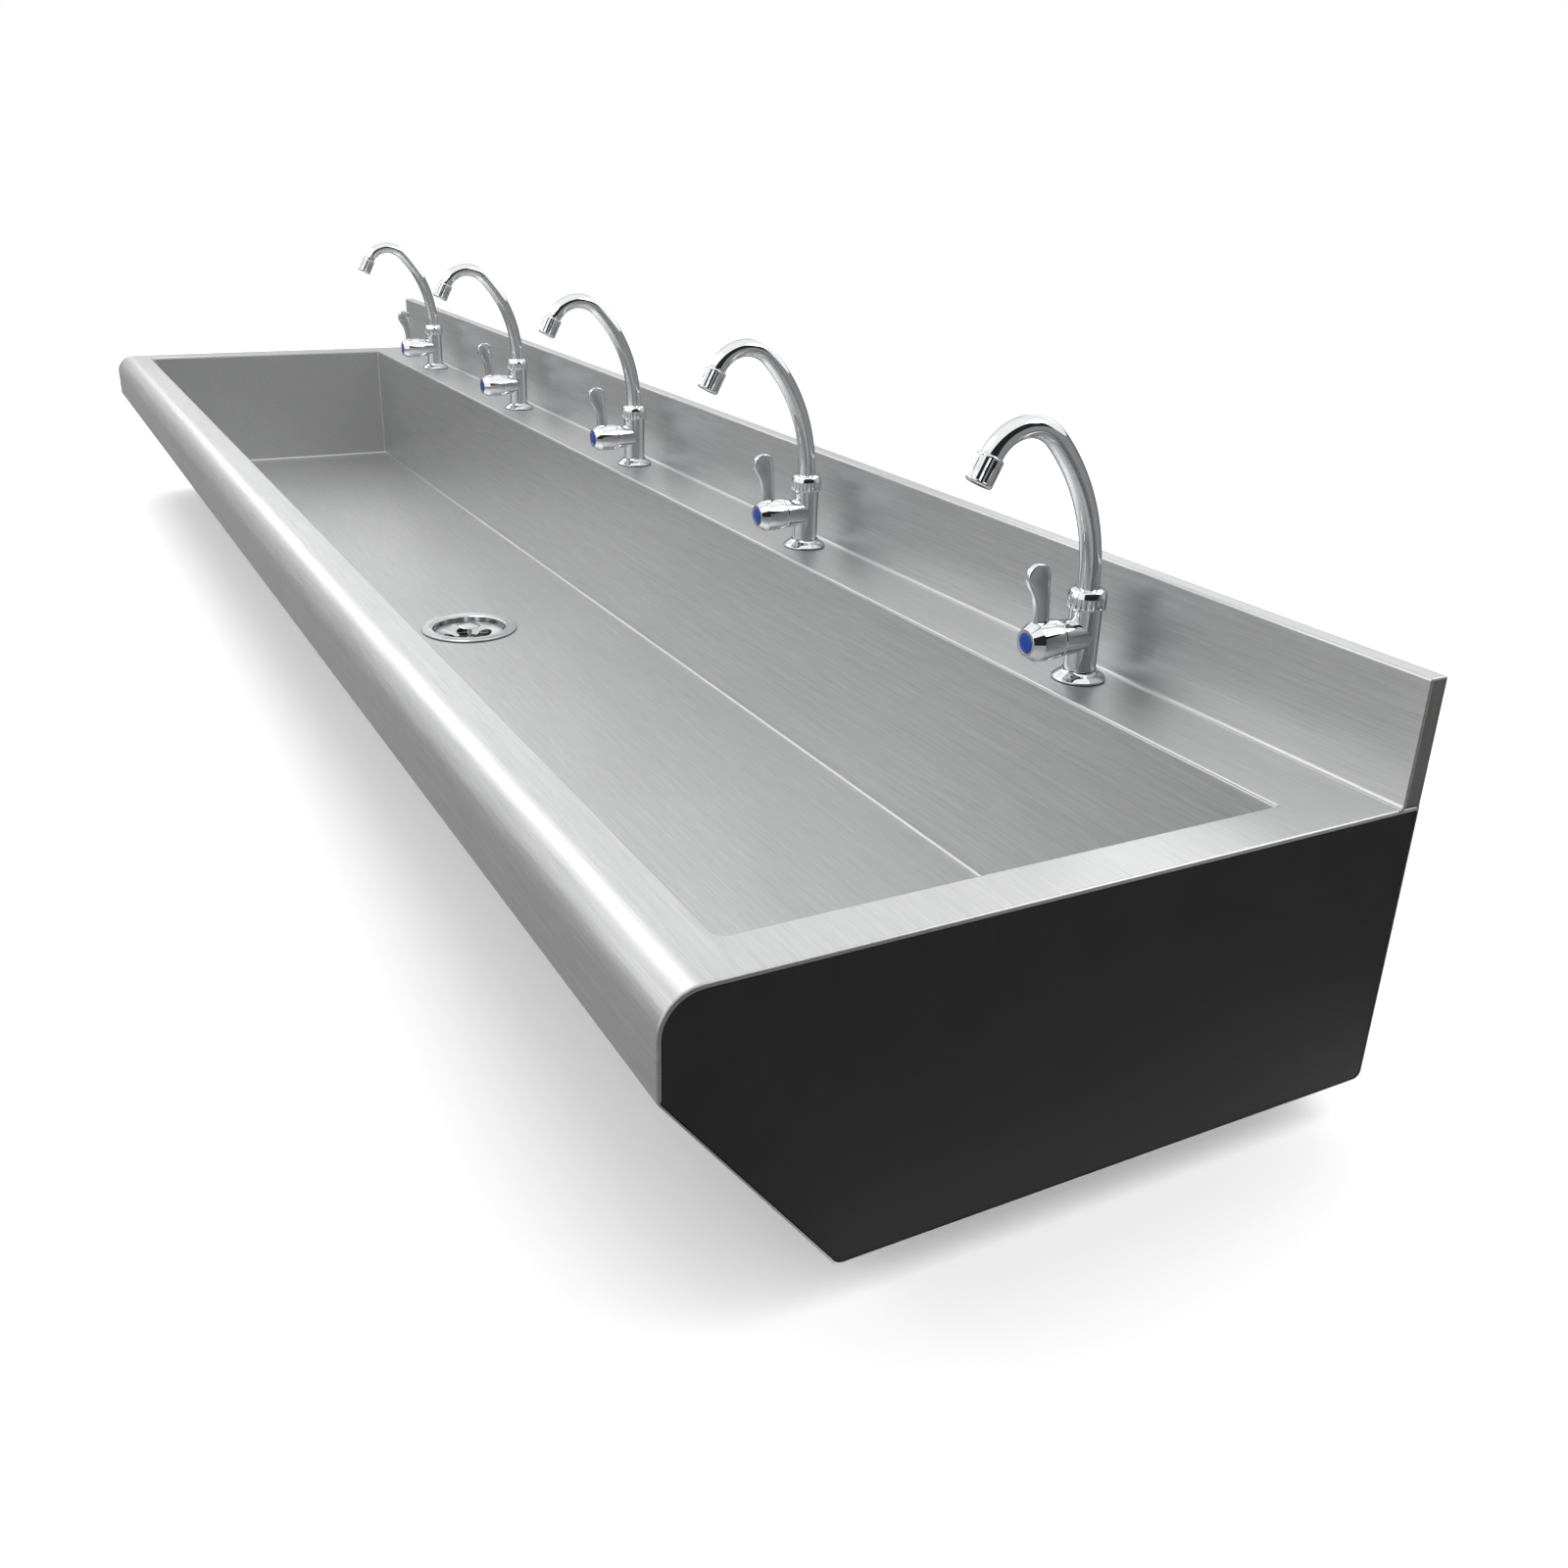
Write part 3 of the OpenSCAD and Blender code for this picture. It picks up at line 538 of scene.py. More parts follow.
def panel_paint(paint, colours):
    mottle = paint.noise((34, 34, 34), 4.0, 0.6)
    grit = paint.noise((1400, 1400, 1400), 2.0, 0.5)
    tone = paint.shade(mottle * 0.7 + grit * 0.3, colours.panel, 0.72, 1.3)
    paint.surface(Base_Color=tone, Roughness=mottle * 0.12 + 0.55, Specular_IOR_Level=0.25,
                  Normal=paint.bump(0.25, grit))


def waste_steel(paint, colours):
    clouded(paint, colours.waste, (260, 260, 260), (0.92, 1.05), (0.10, 0.10), Metallic=1.0)


# The dark Specular Tint is painted shade: it darkens the chrome's reflections towards its outlines, where
# bare chrome would turn brighter.
def tap_chrome(paint, colours):
    clouded(paint, colours.chrome, (180, 180, 180), (0.96, 1.03), (0.014, 0.015), Metallic=1.0,
            Specular_Tint=(0.36, 0.37, 0.39, 1))


def lever_face(paint, colours):
    clouded(paint, colours.chrome, (900, 40, 40), (0.30, 0.36), (0.26, 0.08), Metallic=1.0)


def plain_brass(paint, colours):
    clouded(paint, colours.brass, (420, 420, 420), (0.8, 1.1), (0.22, 0.15), Metallic=1.0)


def black_rubber(paint, colours):
    clouded(paint, colours.rubber, (900, 900, 900), (0.8, 1.5), (0.55, 0.15), 2.0, 0.5)


def grey_nylon(paint, colours):
    clouded(paint, colours.nylon, (500, 500, 500), (0.85, 1.15), (0.38, 0.12), 3.0, 0.5)


def blue_index(paint, colours):
    clouded(paint, colours.blue, (120, 120, 120), (0.9, 1.12), (0.14, 0.06), 2.0, 0.5,
            Specular_IOR_Level=0.25, Coat_Weight=0.08, Coat_Roughness=0.04)


FINISHES = {
    "brushed_sheet": sheet_along,
    "brushed_across": sheet_across,
    "bright_fold": bright_fold,
    "seam_line": seam_line,
    "splash_end_sheet": splash_end_painted_shade,
    "mill_sheet": mill_steel,
    "dark_panel": panel_paint,
    "waste_steel": waste_steel,
    "tap_chrome": tap_chrome,
    "lever_face": lever_face,
    "plain_brass": plain_brass,
    "black_rubber": black_rubber,
    "grey_nylon": grey_nylon,
    "blue_index": blue_index,
}


def finish(name):
    """The material of that name, made the first time it is asked for."""
    label = f"{name}_finish"
    material = bpy.data.materials.get(label)
    if material is None:
        material = bpy.data.materials.new(label)
        material.use_nodes = True
        FINISHES[name](Paint(material.node_tree), bpy.context.scene.finish_colours)
    return material


# Casing sheets


def casing_lines(s):
    """The deck's and the skirt's lines in (Y, Z), each with its sheet on its left."""
    foot = Vector((-s.depth, s.deck_z - s.apron_h))
    low_fold = Vector((-s.bottom_d, s.bottom_z))
    lap = foot + (low_fold - foot).normalized() * s.lap
    deck = rounded([(-s.sheet_t, s.deck_z), (-s.depth, s.deck_z), foot, lap],
                   [s.nose_r, s.apron_r], NOSE_STEPS)
    skirt = rounded([lap, low_fold, (0, s.bottom_z), (0, s.bottom_z + s.lap)],
                    [s.foot_r, s.rear_r], FOOT_STEPS)
    return deck, skirt


def end_stations(half_l, fold, lip, depth, steps=6):
    """(X, inset) pairs that turn a sheet over the right end, from the middle outwards."""
    stations = [(half_l - fold * (1 - math.sin(a)), fold * (1 - math.cos(a))) for a in quarter(steps)]
    return stations + [(half_l, fold + lip), (half_l - depth, fold + lip)]


def sheet_rows(line, stations):
    """Rows of points for a sheet that turns over both of its ends."""
    both = [(-x, inset) for x, inset in reversed(stations)] + stations
    return [[Vector((x, p[0], p[1])) for p in offset_line(line, inset)] for x, inset in both]


def loft_open(bm, rows, flat, paint=None):
    """Lofts a sheet without its flat stretch after point flat, and returns that stretch's outline."""
    middle = len(rows) // 2 - 1
    made = loft(bm, rows, skip={(middle, flat)}, paint=paint)
    left, right = made[middle], made[middle + 1]
    return [left[flat], left[flat + 1], right[flat + 1], right[flat]]


def tapered(wide, thin, shares):
    """A row between two others; each share is 1 where it keeps to the wide one."""
    return [q.lerp(p, share) for p, q, share in zip(wide, thin, shares)]


def fold_shares(deck_line):
    """Where the deck's end fold is wide: down to the apron's foot, whose bend takes it over to thin."""
    taper = [math.cos(a) ** 2 for a in quarter(NOSE_STEPS)]
    return [1.0] * (len(deck_line) - NOSE_STEPS - 2) + taper + [0.0]


def opening_ring(b, out, z, front_in=0.0, steps=6):
    """A level ring round the bowl, seen from above against the clock, widened by out."""
    half = b.half_l + out
    back = -b.back + out
    front = -b.front - out + front_in
    points = [(half, front), (half, back), (-half, back), (-half, front)]
    least = 0.5
    radii = [max(r + out, least) for r in (b.front_r, b.back_r, b.back_r, b.front_r)]
    return [(p[0], p[1], z) for p in rounded(points, radii, steps, closed=True)]


def make_deck(context):
    s, b = in_mm(context.scene.casing_sizes), in_mm(context.scene.bowl_sizes)
    line = casing_lines(s)[0]
    wide = end_stations(s.half_l, s.end_fold, s.end_lip, 3)
    thin = end_stations(s.half_l, s.thin_fold, s.thin_lip, 2)
    shares = fold_shares(line)
    rows = [tapered(p, q, shares) for p, q in zip(sheet_rows(line, wide), sheet_rows(line, thin))]
    middle = len(wide) - 1
    bm = bmesh.new()
    # Every row but the middle span is the end turnover, which takes the near-white fold colour, a painted
    # highlight.
    outline = loft_open(bm, rows, 0, lambda i, k: 0 if i == middle else 1)
    # Round the opening, a narrow flat band and the fold's last step take the near-black painted shade line;
    # the rest of the fold takes the painted highlight.
    highlight_out, shade_line_out = 0.5, 1.3
    rings = [opening_ring(b, b.edge_r + out, s.deck_z) for out in (shade_line_out, highlight_out)]
    for a in quarter(5):
        rings.append(opening_ring(b, b.edge_r * (1 - math.sin(a)), s.deck_z - b.edge_r * (1 - math.cos(a))))
    opening = loft(bm, rings, ring=True, paint=lambda i, k: 2 if i in (0, len(rings) - 2) else 1)
    fill(bm, [outline, opening[0]], Z)
    deck = add_object("deck_sheet", bm)
    thicken(deck, s.sheet_t)
    put(deck, "trough", "brushed_sheet", ["deck"], "brushed_sheet", "bright_fold", "seam_line")


def make_skirt(context):
    s, w = in_mm(context.scene.casing_sizes), in_mm(context.scene.waste_sizes)
    line = casing_lines(s)[1]
    stations = end_stations(s.half_l, s.thin_fold, s.thin_lip, 2)
    bm = bmesh.new()
    outline = loft_open(bm, sheet_rows(line, stations), 1 + FOOT_STEPS)
    corners = [(-s.slot_half, -s.slot_front), (s.slot_half, -s.slot_front),
               (s.slot_half, -s.slot_rear), (-s.slot_half, -s.slot_rear)]
    slot = [(p[0], p[1], s.bottom_z) for p in rounded(corners, [s.slot_r] * 4, 5, closed=True)]
    access = circle(Vector((0, -w.y, s.bottom_z)), X, Y, s.access_r, 64)
    fill(bm, [outline] + [[bm.verts.new(p) for p in hole] for hole in (slot, access)], -Z)
    for face in bm.faces:
        face.normal_update()
    for face in [f for f in bm.faces if len(f.verts) == 3 and f.normal.z > 0.5]:
        face.normal_flip()
    skirt = add_object("skirt_sheet", bm)
    thicken(skirt, s.sheet_t)
    put(skirt, "trough", "brushed_sheet", ["skirt"])


def make_back_sheet(context):
    s = in_mm(context.scene.casing_sizes)
    stations = end_stations(s.half_l, s.thin_fold, s.thin_lip, 2)
    lap_gap = 0.1
    line = [Vector((0, s.bottom_z + s.lap + lap_gap)), Vector((0, s.deck_z))]
    bm = bmesh.new()
    outline = loft_open(bm, sheet_rows(line, stations), 0)
    bolts = [Vector((x, 0, z)) for x in (-s.bolt_x, 0, s.bolt_x) for z in (-s.bolt_z, s.bolt_z)]
    holes = [[bm.verts.new(p) for p in circle(bolt, X, Z, s.bolt_r, 40)] for bolt in bolts]
    fill(bm, [outline, *holes], Y)
    bmesh.ops.recalc_face_normals(bm, faces=bm.faces)
    if sum(f.normal.y for f in bm.faces) < 0:
        bmesh.ops.reverse_faces(bm, faces=bm.faces)
    sheet = add_object("back_sheet", bm)
    thicken(sheet, s.sheet_t)
    put(sheet, "trough", "brushed_sheet", ["back_panel"])


def make_splashback(context):
    s = in_mm(context.scene.casing_sizes)
    top = s.deck_z + s.splash_h
    foot = s.deck_z + 0.05
    radii = [s.splash_rear_r, s.splash_front_r]
    steps = 6
    cove = [Vector((-s.splash_t - s.cove * (1 - math.cos(a)), foot + s.cove * (1 - math.sin(a))))
            for a in quarter(steps)]
    line = rounded([(0, s.deck_z), (0, top), (-s.splash_t, top), cove[0]], radii, steps) + cove[1:]
    stations = end_stations(s.half_l, s.splash_fold, s.thin_lip, 2)
    middle = len(stations) - 1
    front_fold = range(2 + steps, 2 + 2 * steps)
    front_face = front_fold.stop

    # The end turnovers, the front top fold and the cove at the foot take the near-white fold colour, a
    # painted highlight.
    def bright(i, k):
        return int(i != middle or k in front_fold or k > front_face)

    bm = bmesh.new()
    loft(bm, sheet_rows(line, stations), paint=bright)
    sheet = add_object("splashback_sheet", bm)
    thicken(sheet, s.splash_sheet)
    put(sheet, "trough", "brushed_sheet", ["backsplash"], "brushed_sheet", "bright_fold")

    low, cap_t, ease = s.deck_z - 1, 2.25, 0.25
    outer = s.half_l - ease
    corners = [(0, low), (0, top), (-s.splash_t, top), (-s.splash_t, low)]
    outline = rounded(corners, [0, *radii, 0], steps, closed=True)
    outline = offset_line(outline, s.cap_gap, closed=True)
    # The end caps take the darkened sheet colour, which is painted shade.
    for side, name in ((-1, "left"), (1, "right")):
        bm = bmesh.new()
        plate(bm, outline, side * (outer - cap_t), side * outer, ease)
        cap = add_object(f"splashback_cap_{name}", bm)
        even_shading(cap)
        put(cap, "trough", "splash_end_sheet", [f"splash_end_{name}"])


def make_end_panels(context):
    s = in_mm(context.scene.casing_sizes)
    deck, skirt = casing_lines(s)
    wide = s.end_fold + s.end_lip + s.panel_gap
    thin = s.thin_fold + s.thin_lip + s.panel_gap
    front = tapered(offset_line(deck, wide), offset_line(deck, thin), fold_shares(deck))
    outline = front[1:] + offset_line(skirt, thin)[1:-1] + [Vector((-thin, s.deck_z - wide))]
    outer, ease = s.half_l - s.panel_in, 0.5
    for side, name in ((-1, "left"), (1, "right")):
        bm = bmesh.new()
        plate(bm, outline, side * (outer - s.panel_t), side * outer, ease)
        panel = add_object(f"end_plate_{name}", bm)
        even_shading(panel)
        put(panel, "trough", "dark_panel", [f"end_panel_{name}"])


def make_bowl(context):
    s, b = in_mm(context.scene.casing_sizes), in_mm(context.scene.bowl_sizes)
    w = in_mm(context.scene.waste_sizes)
    top = s.deck_z - b.edge_r
    fall = s.deck_z - s.sheet_t - b.floor_z

    def lean(z):
        return b.lean * (s.deck_z - s.sheet_t - z) / fall

    edge = 2
    walls = [(0, top), (0, top - edge), (0, b.floor_z + b.floor_r + edge)]
    levels = walls + [(b.floor_r * (1 - math.cos(a)), b.floor_z + b.floor_r * (1 - math.sin(a)))
                      for a in quarter(6)]
    bm = bmesh.new()
    # The floor cove takes the near-white fold colour, a painted highlight.
    rows = loft(bm, [opening_ring(b, -inset, z, lean(z)) for inset, z in levels], ring=True,
                paint=lambda i, k: 2 if i >= len(walls) else 0)
    hole = circle(Vector((0, -w.y, b.floor_z)), X, Y, w.cup_r + w.neck_t, 96)
    fill(bm, [rows[-1], [bm.verts.new(p) for p in hole]], Z)
    for face in bm.faces:
        face.normal_update()
        if face.normal.z < -0.5:
            face.normal_flip()
        if face.material_index == 0:
            face.material_index = 1 if abs(face.normal.x) > 0.8 else 0
    bowl = add_object("bowl", bm)
    thicken(bowl, s.sheet_t)
    put(bowl, "trough", "brushed_sheet", ["basin_trough", "basin_end_left", "basin_end_right"],
        "brushed_sheet", "brushed_across", "bright_fold")


# Waste


def at_waste(context):
    w, b = in_mm(context.scene.waste_sizes), in_mm(context.scene.bowl_sizes)
    return Matrix.Translation((0, -w.y, b.floor_z))


def make_waste(context):
    w = in_mm(context.scene.waste_sizes)
    neck_r = w.cup_r + w.neck_t
    ledge_z, floor_z, under_z = -8, -24.5, -26
    bore_r, spigot_r, spigot_z = 20, 23.9, -46
    spigot = thread(spigot_r, 0.55, under_z - 2, -17 / 18, 19)
    section = rounded([
        (neck_r, 1), (w.flange_r, 1), (w.flange_r, 2.0), (w.flange_r - 1.2, 3.2),
        (neck_r + 4.0, 2.5), (neck_r + 2.1, 3.1), (neck_r - 0.1, 2.9), (w.cup_r, 1.4),
        (w.cup_r, ledge_z), (w.cup_r - 2, ledge_z), (w.cup_r - 2, floor_z),
        (bore_r, floor_z), (bore_r, spigot_z), (spigot_r - 0.7, spigot_z)],
        [0.1, 0.4, 0.6, 3, 1, 1, 0.8, 0.3, 0.4, 4, 0.8, 0.4], 4)
    section += [Vector(p) for p in reversed(spigot)]
    outer_r = w.cup_r - 0.5
    outer = [(spigot_r, under_z), (outer_r, under_z), (outer_r, -15), (neck_r, -13.5)]
    section += rounded(outer, [5, 0.3], 5)
    bm = bmesh.new()
    turned(bm, section, 128, axis=at_waste(context))
    body = add_object("waste_cup", bm, 32)
    put(body, "trough", "waste_steel", ["waste_body"])


def petal_outline(far, far_r, near, near_r, steps=12):
    """A drop-shaped hole that points to the basket's middle."""
    outline = []
    for x, r, start in ((far, far_r, -0.5), (near, near_r, 0.5)):
        turn = [math.pi * (start + k / steps) for k in range(steps + 1)]
        outline += [Vector((x + r * math.cos(a), r * math.sin(a))) for a in turn]
    return outline


def make_strainer(context):
    w = in_mm(context.scene.waste_sizes)
    low = -w.basket_depth
    wall = low * 0.62
    dish_r, wall_r, rim_z, thin = 22, 38, -6.7, 1
    section = rounded([
        (0, low), (dish_r, low), (wall_r, wall), (w.cup_r - 3.3, rim_z), (w.cup_r - 1, rim_z),
        (w.cup_r - 1, rim_z - thin), (w.cup_r - 2.3, rim_z - thin), (wall_r + thin, wall - thin),
        (dish_r, low - thin), (0, low - thin)],
        [6, 9, 0.8, 0.3, 0.3, 0.3, 10, 7], 6)
    bm = bmesh.new()
    turned(bm, section, 120, axis=at_waste(context))
    basket = add_object("basket", bm, 32)
    petals = 5
    outline = petal_outline(far=25.5, far_r=12, near=13, near_r=4.5)
    bm = bmesh.new()
    for k in range(petals):
        turn = at_waste(context) @ Matrix.Rotation((k + 0.5) * 2 * math.pi / petals, 4, "Z")
        rows = [[turn @ Vector((p[0], p[1], z)) for p in outline] for z in (low - 6, -2)]
        made = loft(bm, rows, ring=True)
        fill(bm, [made[0]], -Z)
        fill(bm, [made[1]], Z)
    bmesh.ops.recalc_face_normals(bm, faces=bm.faces)
    combine(basket, add_object("petals", bm), "DIFFERENCE")
    put(basket, "strainer", "waste_steel", ["strainer_basket"])

    r, post_r = w.knob_r, 2.5
    knob = rounded([(0, low - 0.2), (6, low - 0.2), (5.2, low + 1.4), (post_r, low + 3), (post_r, 2),
                    (r * 0.8, 2), (r, 3.6), (r * 0.82, 5.0), (r * 0.4, 6), (0, 6)],
                   [0.3, 0.8, 1, 0.8, 0.5, 0.7, 6, 8], 6)
    bm = bmesh.new()
    turned(bm, knob, 96, closed=False, axis=at_waste(context))
    top = add_object("basket_knob", bm, 40)
    put(top, "strainer", "waste_steel", ["strainer_knob"])


# Taps


def tap_places(context):
    t, s = in_mm(context.scene.tap_sizes), in_mm(context.scene.casing_sizes)
    return [Vector(((i - MIDDLE_TAP) * t.pitch, -t.y, s.deck_z)) for i in TAPS]


def along_valve(t):
    """Turned pieces drawn on Z are laid along the valve's axis, towards the front."""
    return Matrix.Translation((0, 0, t.valve_z)) @ Matrix.Rotation(math.pi / 2, 4, "X")


def copy_to_taps(context, obj, name, body, slot, node, *materials):
    """Puts one copy of a piece at each tap; body and node hold the tap's number where they end in _."""
    def at_tap(label, i):
        return f"{label}{i}" if label.endswith("_") else label

    for i, place in zip(TAPS, tap_places(context)):
        mesh = obj.data.copy()
        mesh.transform(Matrix.Translation(place * MM))
        nodes = [at_tap(node, i)] if node else []
        put(linked(f"{name}_{i}", mesh), at_tap(body, i), slot, nodes, *materials)
    bpy.data.objects.remove(obj)


def make_tap_bodies(context):
    """Each column with its threads and its side branch."""
    t = in_mm(context.scene.tap_sizes)
    r, foot_h = t.column_r, 4.5
    root_r, tail_r, tail_end, pitch = 9.6, 10.4, -60, 0.9
    section = [(0, tail_end), (root_r, tail_end)] + thread(tail_r, 0.75, tail_end + 1, pitch, 44)
    section += [(root_r, -20), (root_r, -18)] + thread(t.shank_r, 0.7, -17.5, pitch, 17)
    section += [(t.shank_r, t.gasket_t), (t.seat_r, t.gasket_t), (t.seat_r, foot_h), (r, foot_h),
                (r, t.column_h - 1), (r - 0.8, t.column_h), (0, t.column_h)]
    bm = bmesh.new()
    turned(bm, section, 96, closed=False)
    column = add_object("column", bm, 30)
    branch, front_r, front = [(0, 0), (14.8, 0)], 17.15, 31.4
    branch += [(front_r, front - 0.8), (front_r - 0.45, front), (0, front)]
    bm = bmesh.new()
    turned(bm, branch, 128, closed=False, axis=along_valve(t))
    combine(column, add_object("branch", bm, 30), "UNION")
    copy_to_taps(context, column, "tap_column", "trough", "tap_chrome", "tap_body_")


def make_tap_flanges(context):
    """The domed deck flanges and the gaskets under them."""
    t = in_mm(context.scene.tap_sizes)
    r, gap, top, inner_z = t.column_r, 0.1, 9, 4.6
    section = rounded([(t.seat_r + gap, t.gasket_t), (t.flange_r, t.gasket_t), (t.flange_r, 2.2),
                       (t.flange_r * 0.86, 5.31), (t.flange_r * 0.68, 7.85), (r + 1.6, top), (r + gap, top),
                       (r + gap, inner_z), (t.seat_r + gap, inner_z)],
                      [0.1, 0.3, 0.9, 12, 5, 0.6, 0.1, 0.1, 0.1], 5, closed=True)
    bm = bmesh.new()
    turned(bm, section, 128)
    copy_to_taps(context, add_object("flange", bm, 40), "tap_flange", "trough", "tap_chrome", "tap_flanges")

    hole_r, rim_r, ease = t.shank_r + 0.3, t.flange_r - 0.6, 0.2
    bm = bmesh.new()
    turned(bm, [(hole_r, 0), (rim_r - ease, 0), (rim_r, ease), (rim_r, t.gasket_t - ease),
                (rim_r - ease, t.gasket_t), (hole_r, t.gasket_t)], 96)
    gasket = add_object("gasket", bm, 30)
    copy_to_taps(context, gasket, "tap_gasket", "trough", "black_rubber", "tap_gaskets")


def make_collars(context):
    """The fluted nuts that hold the spouts."""
    t = in_mm(context.scene.tap_sizes)
    c, foot_z = t.collar_r, 68
    flute_low, flute_top, flutes, flute_depth = 2.3, 10.8, 24, 0.8

    def fluted(radius, z, angle):
        if not flute_low < z < flute_top or radius < c - 0.5:
            return radius
        return radius - flute_depth * groove(angle, flutes, 0.30)

    bore = t.column_r + 0.15
    mouth = t.spout_r + 0.3
    section = [(bore, 0), (c - 1, 0), (c - 0.3, 0.3)]
    section += [(c, z) for z in (1, 2.0, 2.5, 6.5, 10.6, 11.1, 11.7)]
    section += rounded([(c - 0.1, 12.2), (c - 2.1, 17.6), (mouth + 1, 19), (mouth, 19), (mouth, 12.1)],
                       [3.4, 0.8, 0.2], 6)
    section += [(bore, 12.1)]
    bm = bmesh.new()
    turned(bm, section, 288, shape=fluted, axis=Matrix.Translation((0, 0, foot_z)))
    copy_to_taps(context, add_object("collar", bm, 34), "collar_ring", "trough", "tap_chrome", "tap_collars")


def groove(angle, count, half_share):
    """0 on the lands and 1 in the middle of each of count grooves."""
    phase = (angle * count / (2 * math.pi)) % 1.0
    away = abs(phase - 0.5)
    return math.sqrt(max(0.0, 1 - (away / half_share) ** 2)) if away < half_share else 0.0


def spout_path(t):
    """Points, headings and the tip of the spout's centre line, in the plane of Y and Z."""
    points = [(Vector((0, z)), 0.0) for z in (62, 70, 78, 84)]
    steps = 24
    for k in range(steps + 1):
        a = t.riser_turn * k / steps
        points.append((Vector((-t.riser_r * (1 - math.cos(a)), t.bend_z + t.riser_r * math.sin(a))), a))
    start, lean = points[-1]
    centre = start - t.crook_r * Vector((math.cos(lean), math.sin(lean)))
    steps = 48
    for k in range(1, steps + 1):
        a = lean + t.crook_turn * k / steps
        points.append((centre + t.crook_r * Vector((math.cos(a), math.sin(a))), a))
    tip, lean = points[-1]
    inside_nozzle = 3
    points.append((tip + inside_nozzle * Vector((-math.sin(lean), math.cos(lean))), lean))
    return points, tip, lean


def make_spouts(context):
    """The bent tubes."""
    t = in_mm(context.scene.tap_sizes)
    path = spout_path(t)[0]
    rows = [circle(Vector((0, p[0], p[1])), X, Vector((0, math.cos(a), math.sin(a))), t.spout_r, 64)
            for p, a in path]
    bm = bmesh.new()
    made = loft(bm, rows, ring=True)
    bm.faces.new(made[0])
    bm.faces.new(made[-1])
    bmesh.ops.recalc_face_normals(bm, faces=bm.faces)
    copy_to_taps(context, add_object("tube", bm, 40), "gooseneck", "swivel_", "tap_chrome", "spout_")


def make_aerators(context):
    """The fluted nozzles at the spouts' tips and the ridged screens in them."""
    t = in_mm(context.scene.tap_sizes)
    tip, lean = spout_path(t)[1:]
    at_tip = Matrix.Translation((0, tip[0], tip[1])) @ Matrix.Rotation(lean, 4, "X")
    r, end = t.nozzle_r, t.nozzle_l
    land, flutes, flute_depth = 2.5, 12, 0.9

    def fluted(radius, z, angle):
        if not land < z < end - land or radius < r - 0.9:
            return radius
        return radius - flute_depth * groove(angle, flutes, 0.33)

    bore, mouth, step = t.spout_r + 0.1, 9, 4
    outer = [(r - 1.8, 0), (r - 1.5, 0.15), (r - 0.15, 1.25), (r, 1.6), (r, 2.3), (r, 3.0)]
    section = [(bore, 0)] + outer + [(r, end / 2)] + [(radius, end - z) for radius, z in reversed(outer)]
    section += [(mouth + 0.3, end), (mouth, end - 0.4), (mouth, step), (bore, step)]
    bm = bmesh.new()
    turned(bm, section, 280, shape=fluted, axis=at_tip)
    copy_to_taps(context, add_object("nozzle", bm, 34), "nozzle", "swivel_", "tap_chrome", "aerator_")

    low, middle_r, ridge, rim_r = end - 3.4, 1.2, 0.75, mouth - 0.1
    section = [(0, low + 0.6), (middle_r, low)]
    section += [(middle_r + ridge * k, low + (0.8 if k % 2 else 0.1)) for k in range(1, 10)]
    section += [(rim_r, low + 0.8), (rim_r, low - 0.6), (0, low - 0.6)]
    bm = bmesh.new()
    turned(bm, section, 72, closed=False, axis=at_tip)
    copy_to_taps(context, add_object("mesh_screen", bm, 30), "screen", "swivel_", "grey_nylon", None)


def bezier(p, s):
    """A point of the curve with four control points p, at its share s."""
    r = 1 - s
    return p[0] * r ** 3 + p[1] * (3 * s * r ** 2) + p[2] * (3 * s * s * r) + p[3] * s ** 3


def blade_outline(t):
    """The lever's side view in (Y, Z): a waisted stem with a round head."""
    foot, stem_w, rear = 11, 15, 42.8
    head, head_r = Vector((stem_w + 1, 60.5)), 12.5
    curve = [Vector(p) for p in ((stem_w, foot), (stem_w, 47), (25.08, 42.96), (head.x + head_r, head.y))]
    outline = [Vector((0, foot))] + [bezier(curve, k / 20) for k in range(21)]
    turn = [math.pi * k / 28 for k in range(1, 29)]
    outline += [head + head_r * Vector((math.cos(a), math.sin(a))) for a in turn]
    outline = [Vector((-rear - p[0], t.valve_z + p[1])) for p in outline]
    outline.reverse()
    return outline


def make_levers(context):
    """Each hub with its blade, whose two faces are sunk inside a rim."""
    t = in_mm(context.scene.tap_sizes)
    seam, shoulder, face_r, pocket_r = 31.7, 56.5, 12.6, t.cap_r + 0.3
    section = rounded([(0, seam), (t.hub_r, seam), (t.hub_r, shoulder), (face_r, t.hub_front),
                       (pocket_r, t.hub_front), (pocket_r, t.cap_seat), (0, t.cap_seat)],
                      [1.9, 1.6, 0.5, 0.3, 0.2], 6)
    bm = bmesh.new()
    turned(bm, section, 128, closed=False, axis=along_valve(t))
    hub = add_object("hub", bm, 30)

    half, edge, sunk = t.blade_t / 2, 1.3, 1.3
    stations = [(0, half - edge)]
    stations += sorted((edge * (1 - math.sin(a)), half - edge * (1 - math.cos(a))) for a in quarter(5))
    stations += [(edge + 0.5, half), (edge + 0.8, half - 0.15), (edge + 1.0, half - 1.1),
                 (edge + 1.4, half - sunk)]
    bm = bmesh.new()
    solid_across(bm, blade_outline(t), [(inset, -x) for inset, x in reversed(stations)] + stations)
    combine(hub, add_object("blade", bm, 30), "UNION")
    for face in hub.data.polygons:
        middle = face.center / MM
        level = abs(face.normal.x) > 0.9 and abs(abs(middle.x) - half + sunk) < 0.1
        face.material_index = int(level and middle.z > t.valve_z + t.hub_r - 1)
    copy_to_taps(context, hub, "lever_arm", "handle_", "tap_chrome", "lever_", "tap_chrome", "lever_face")


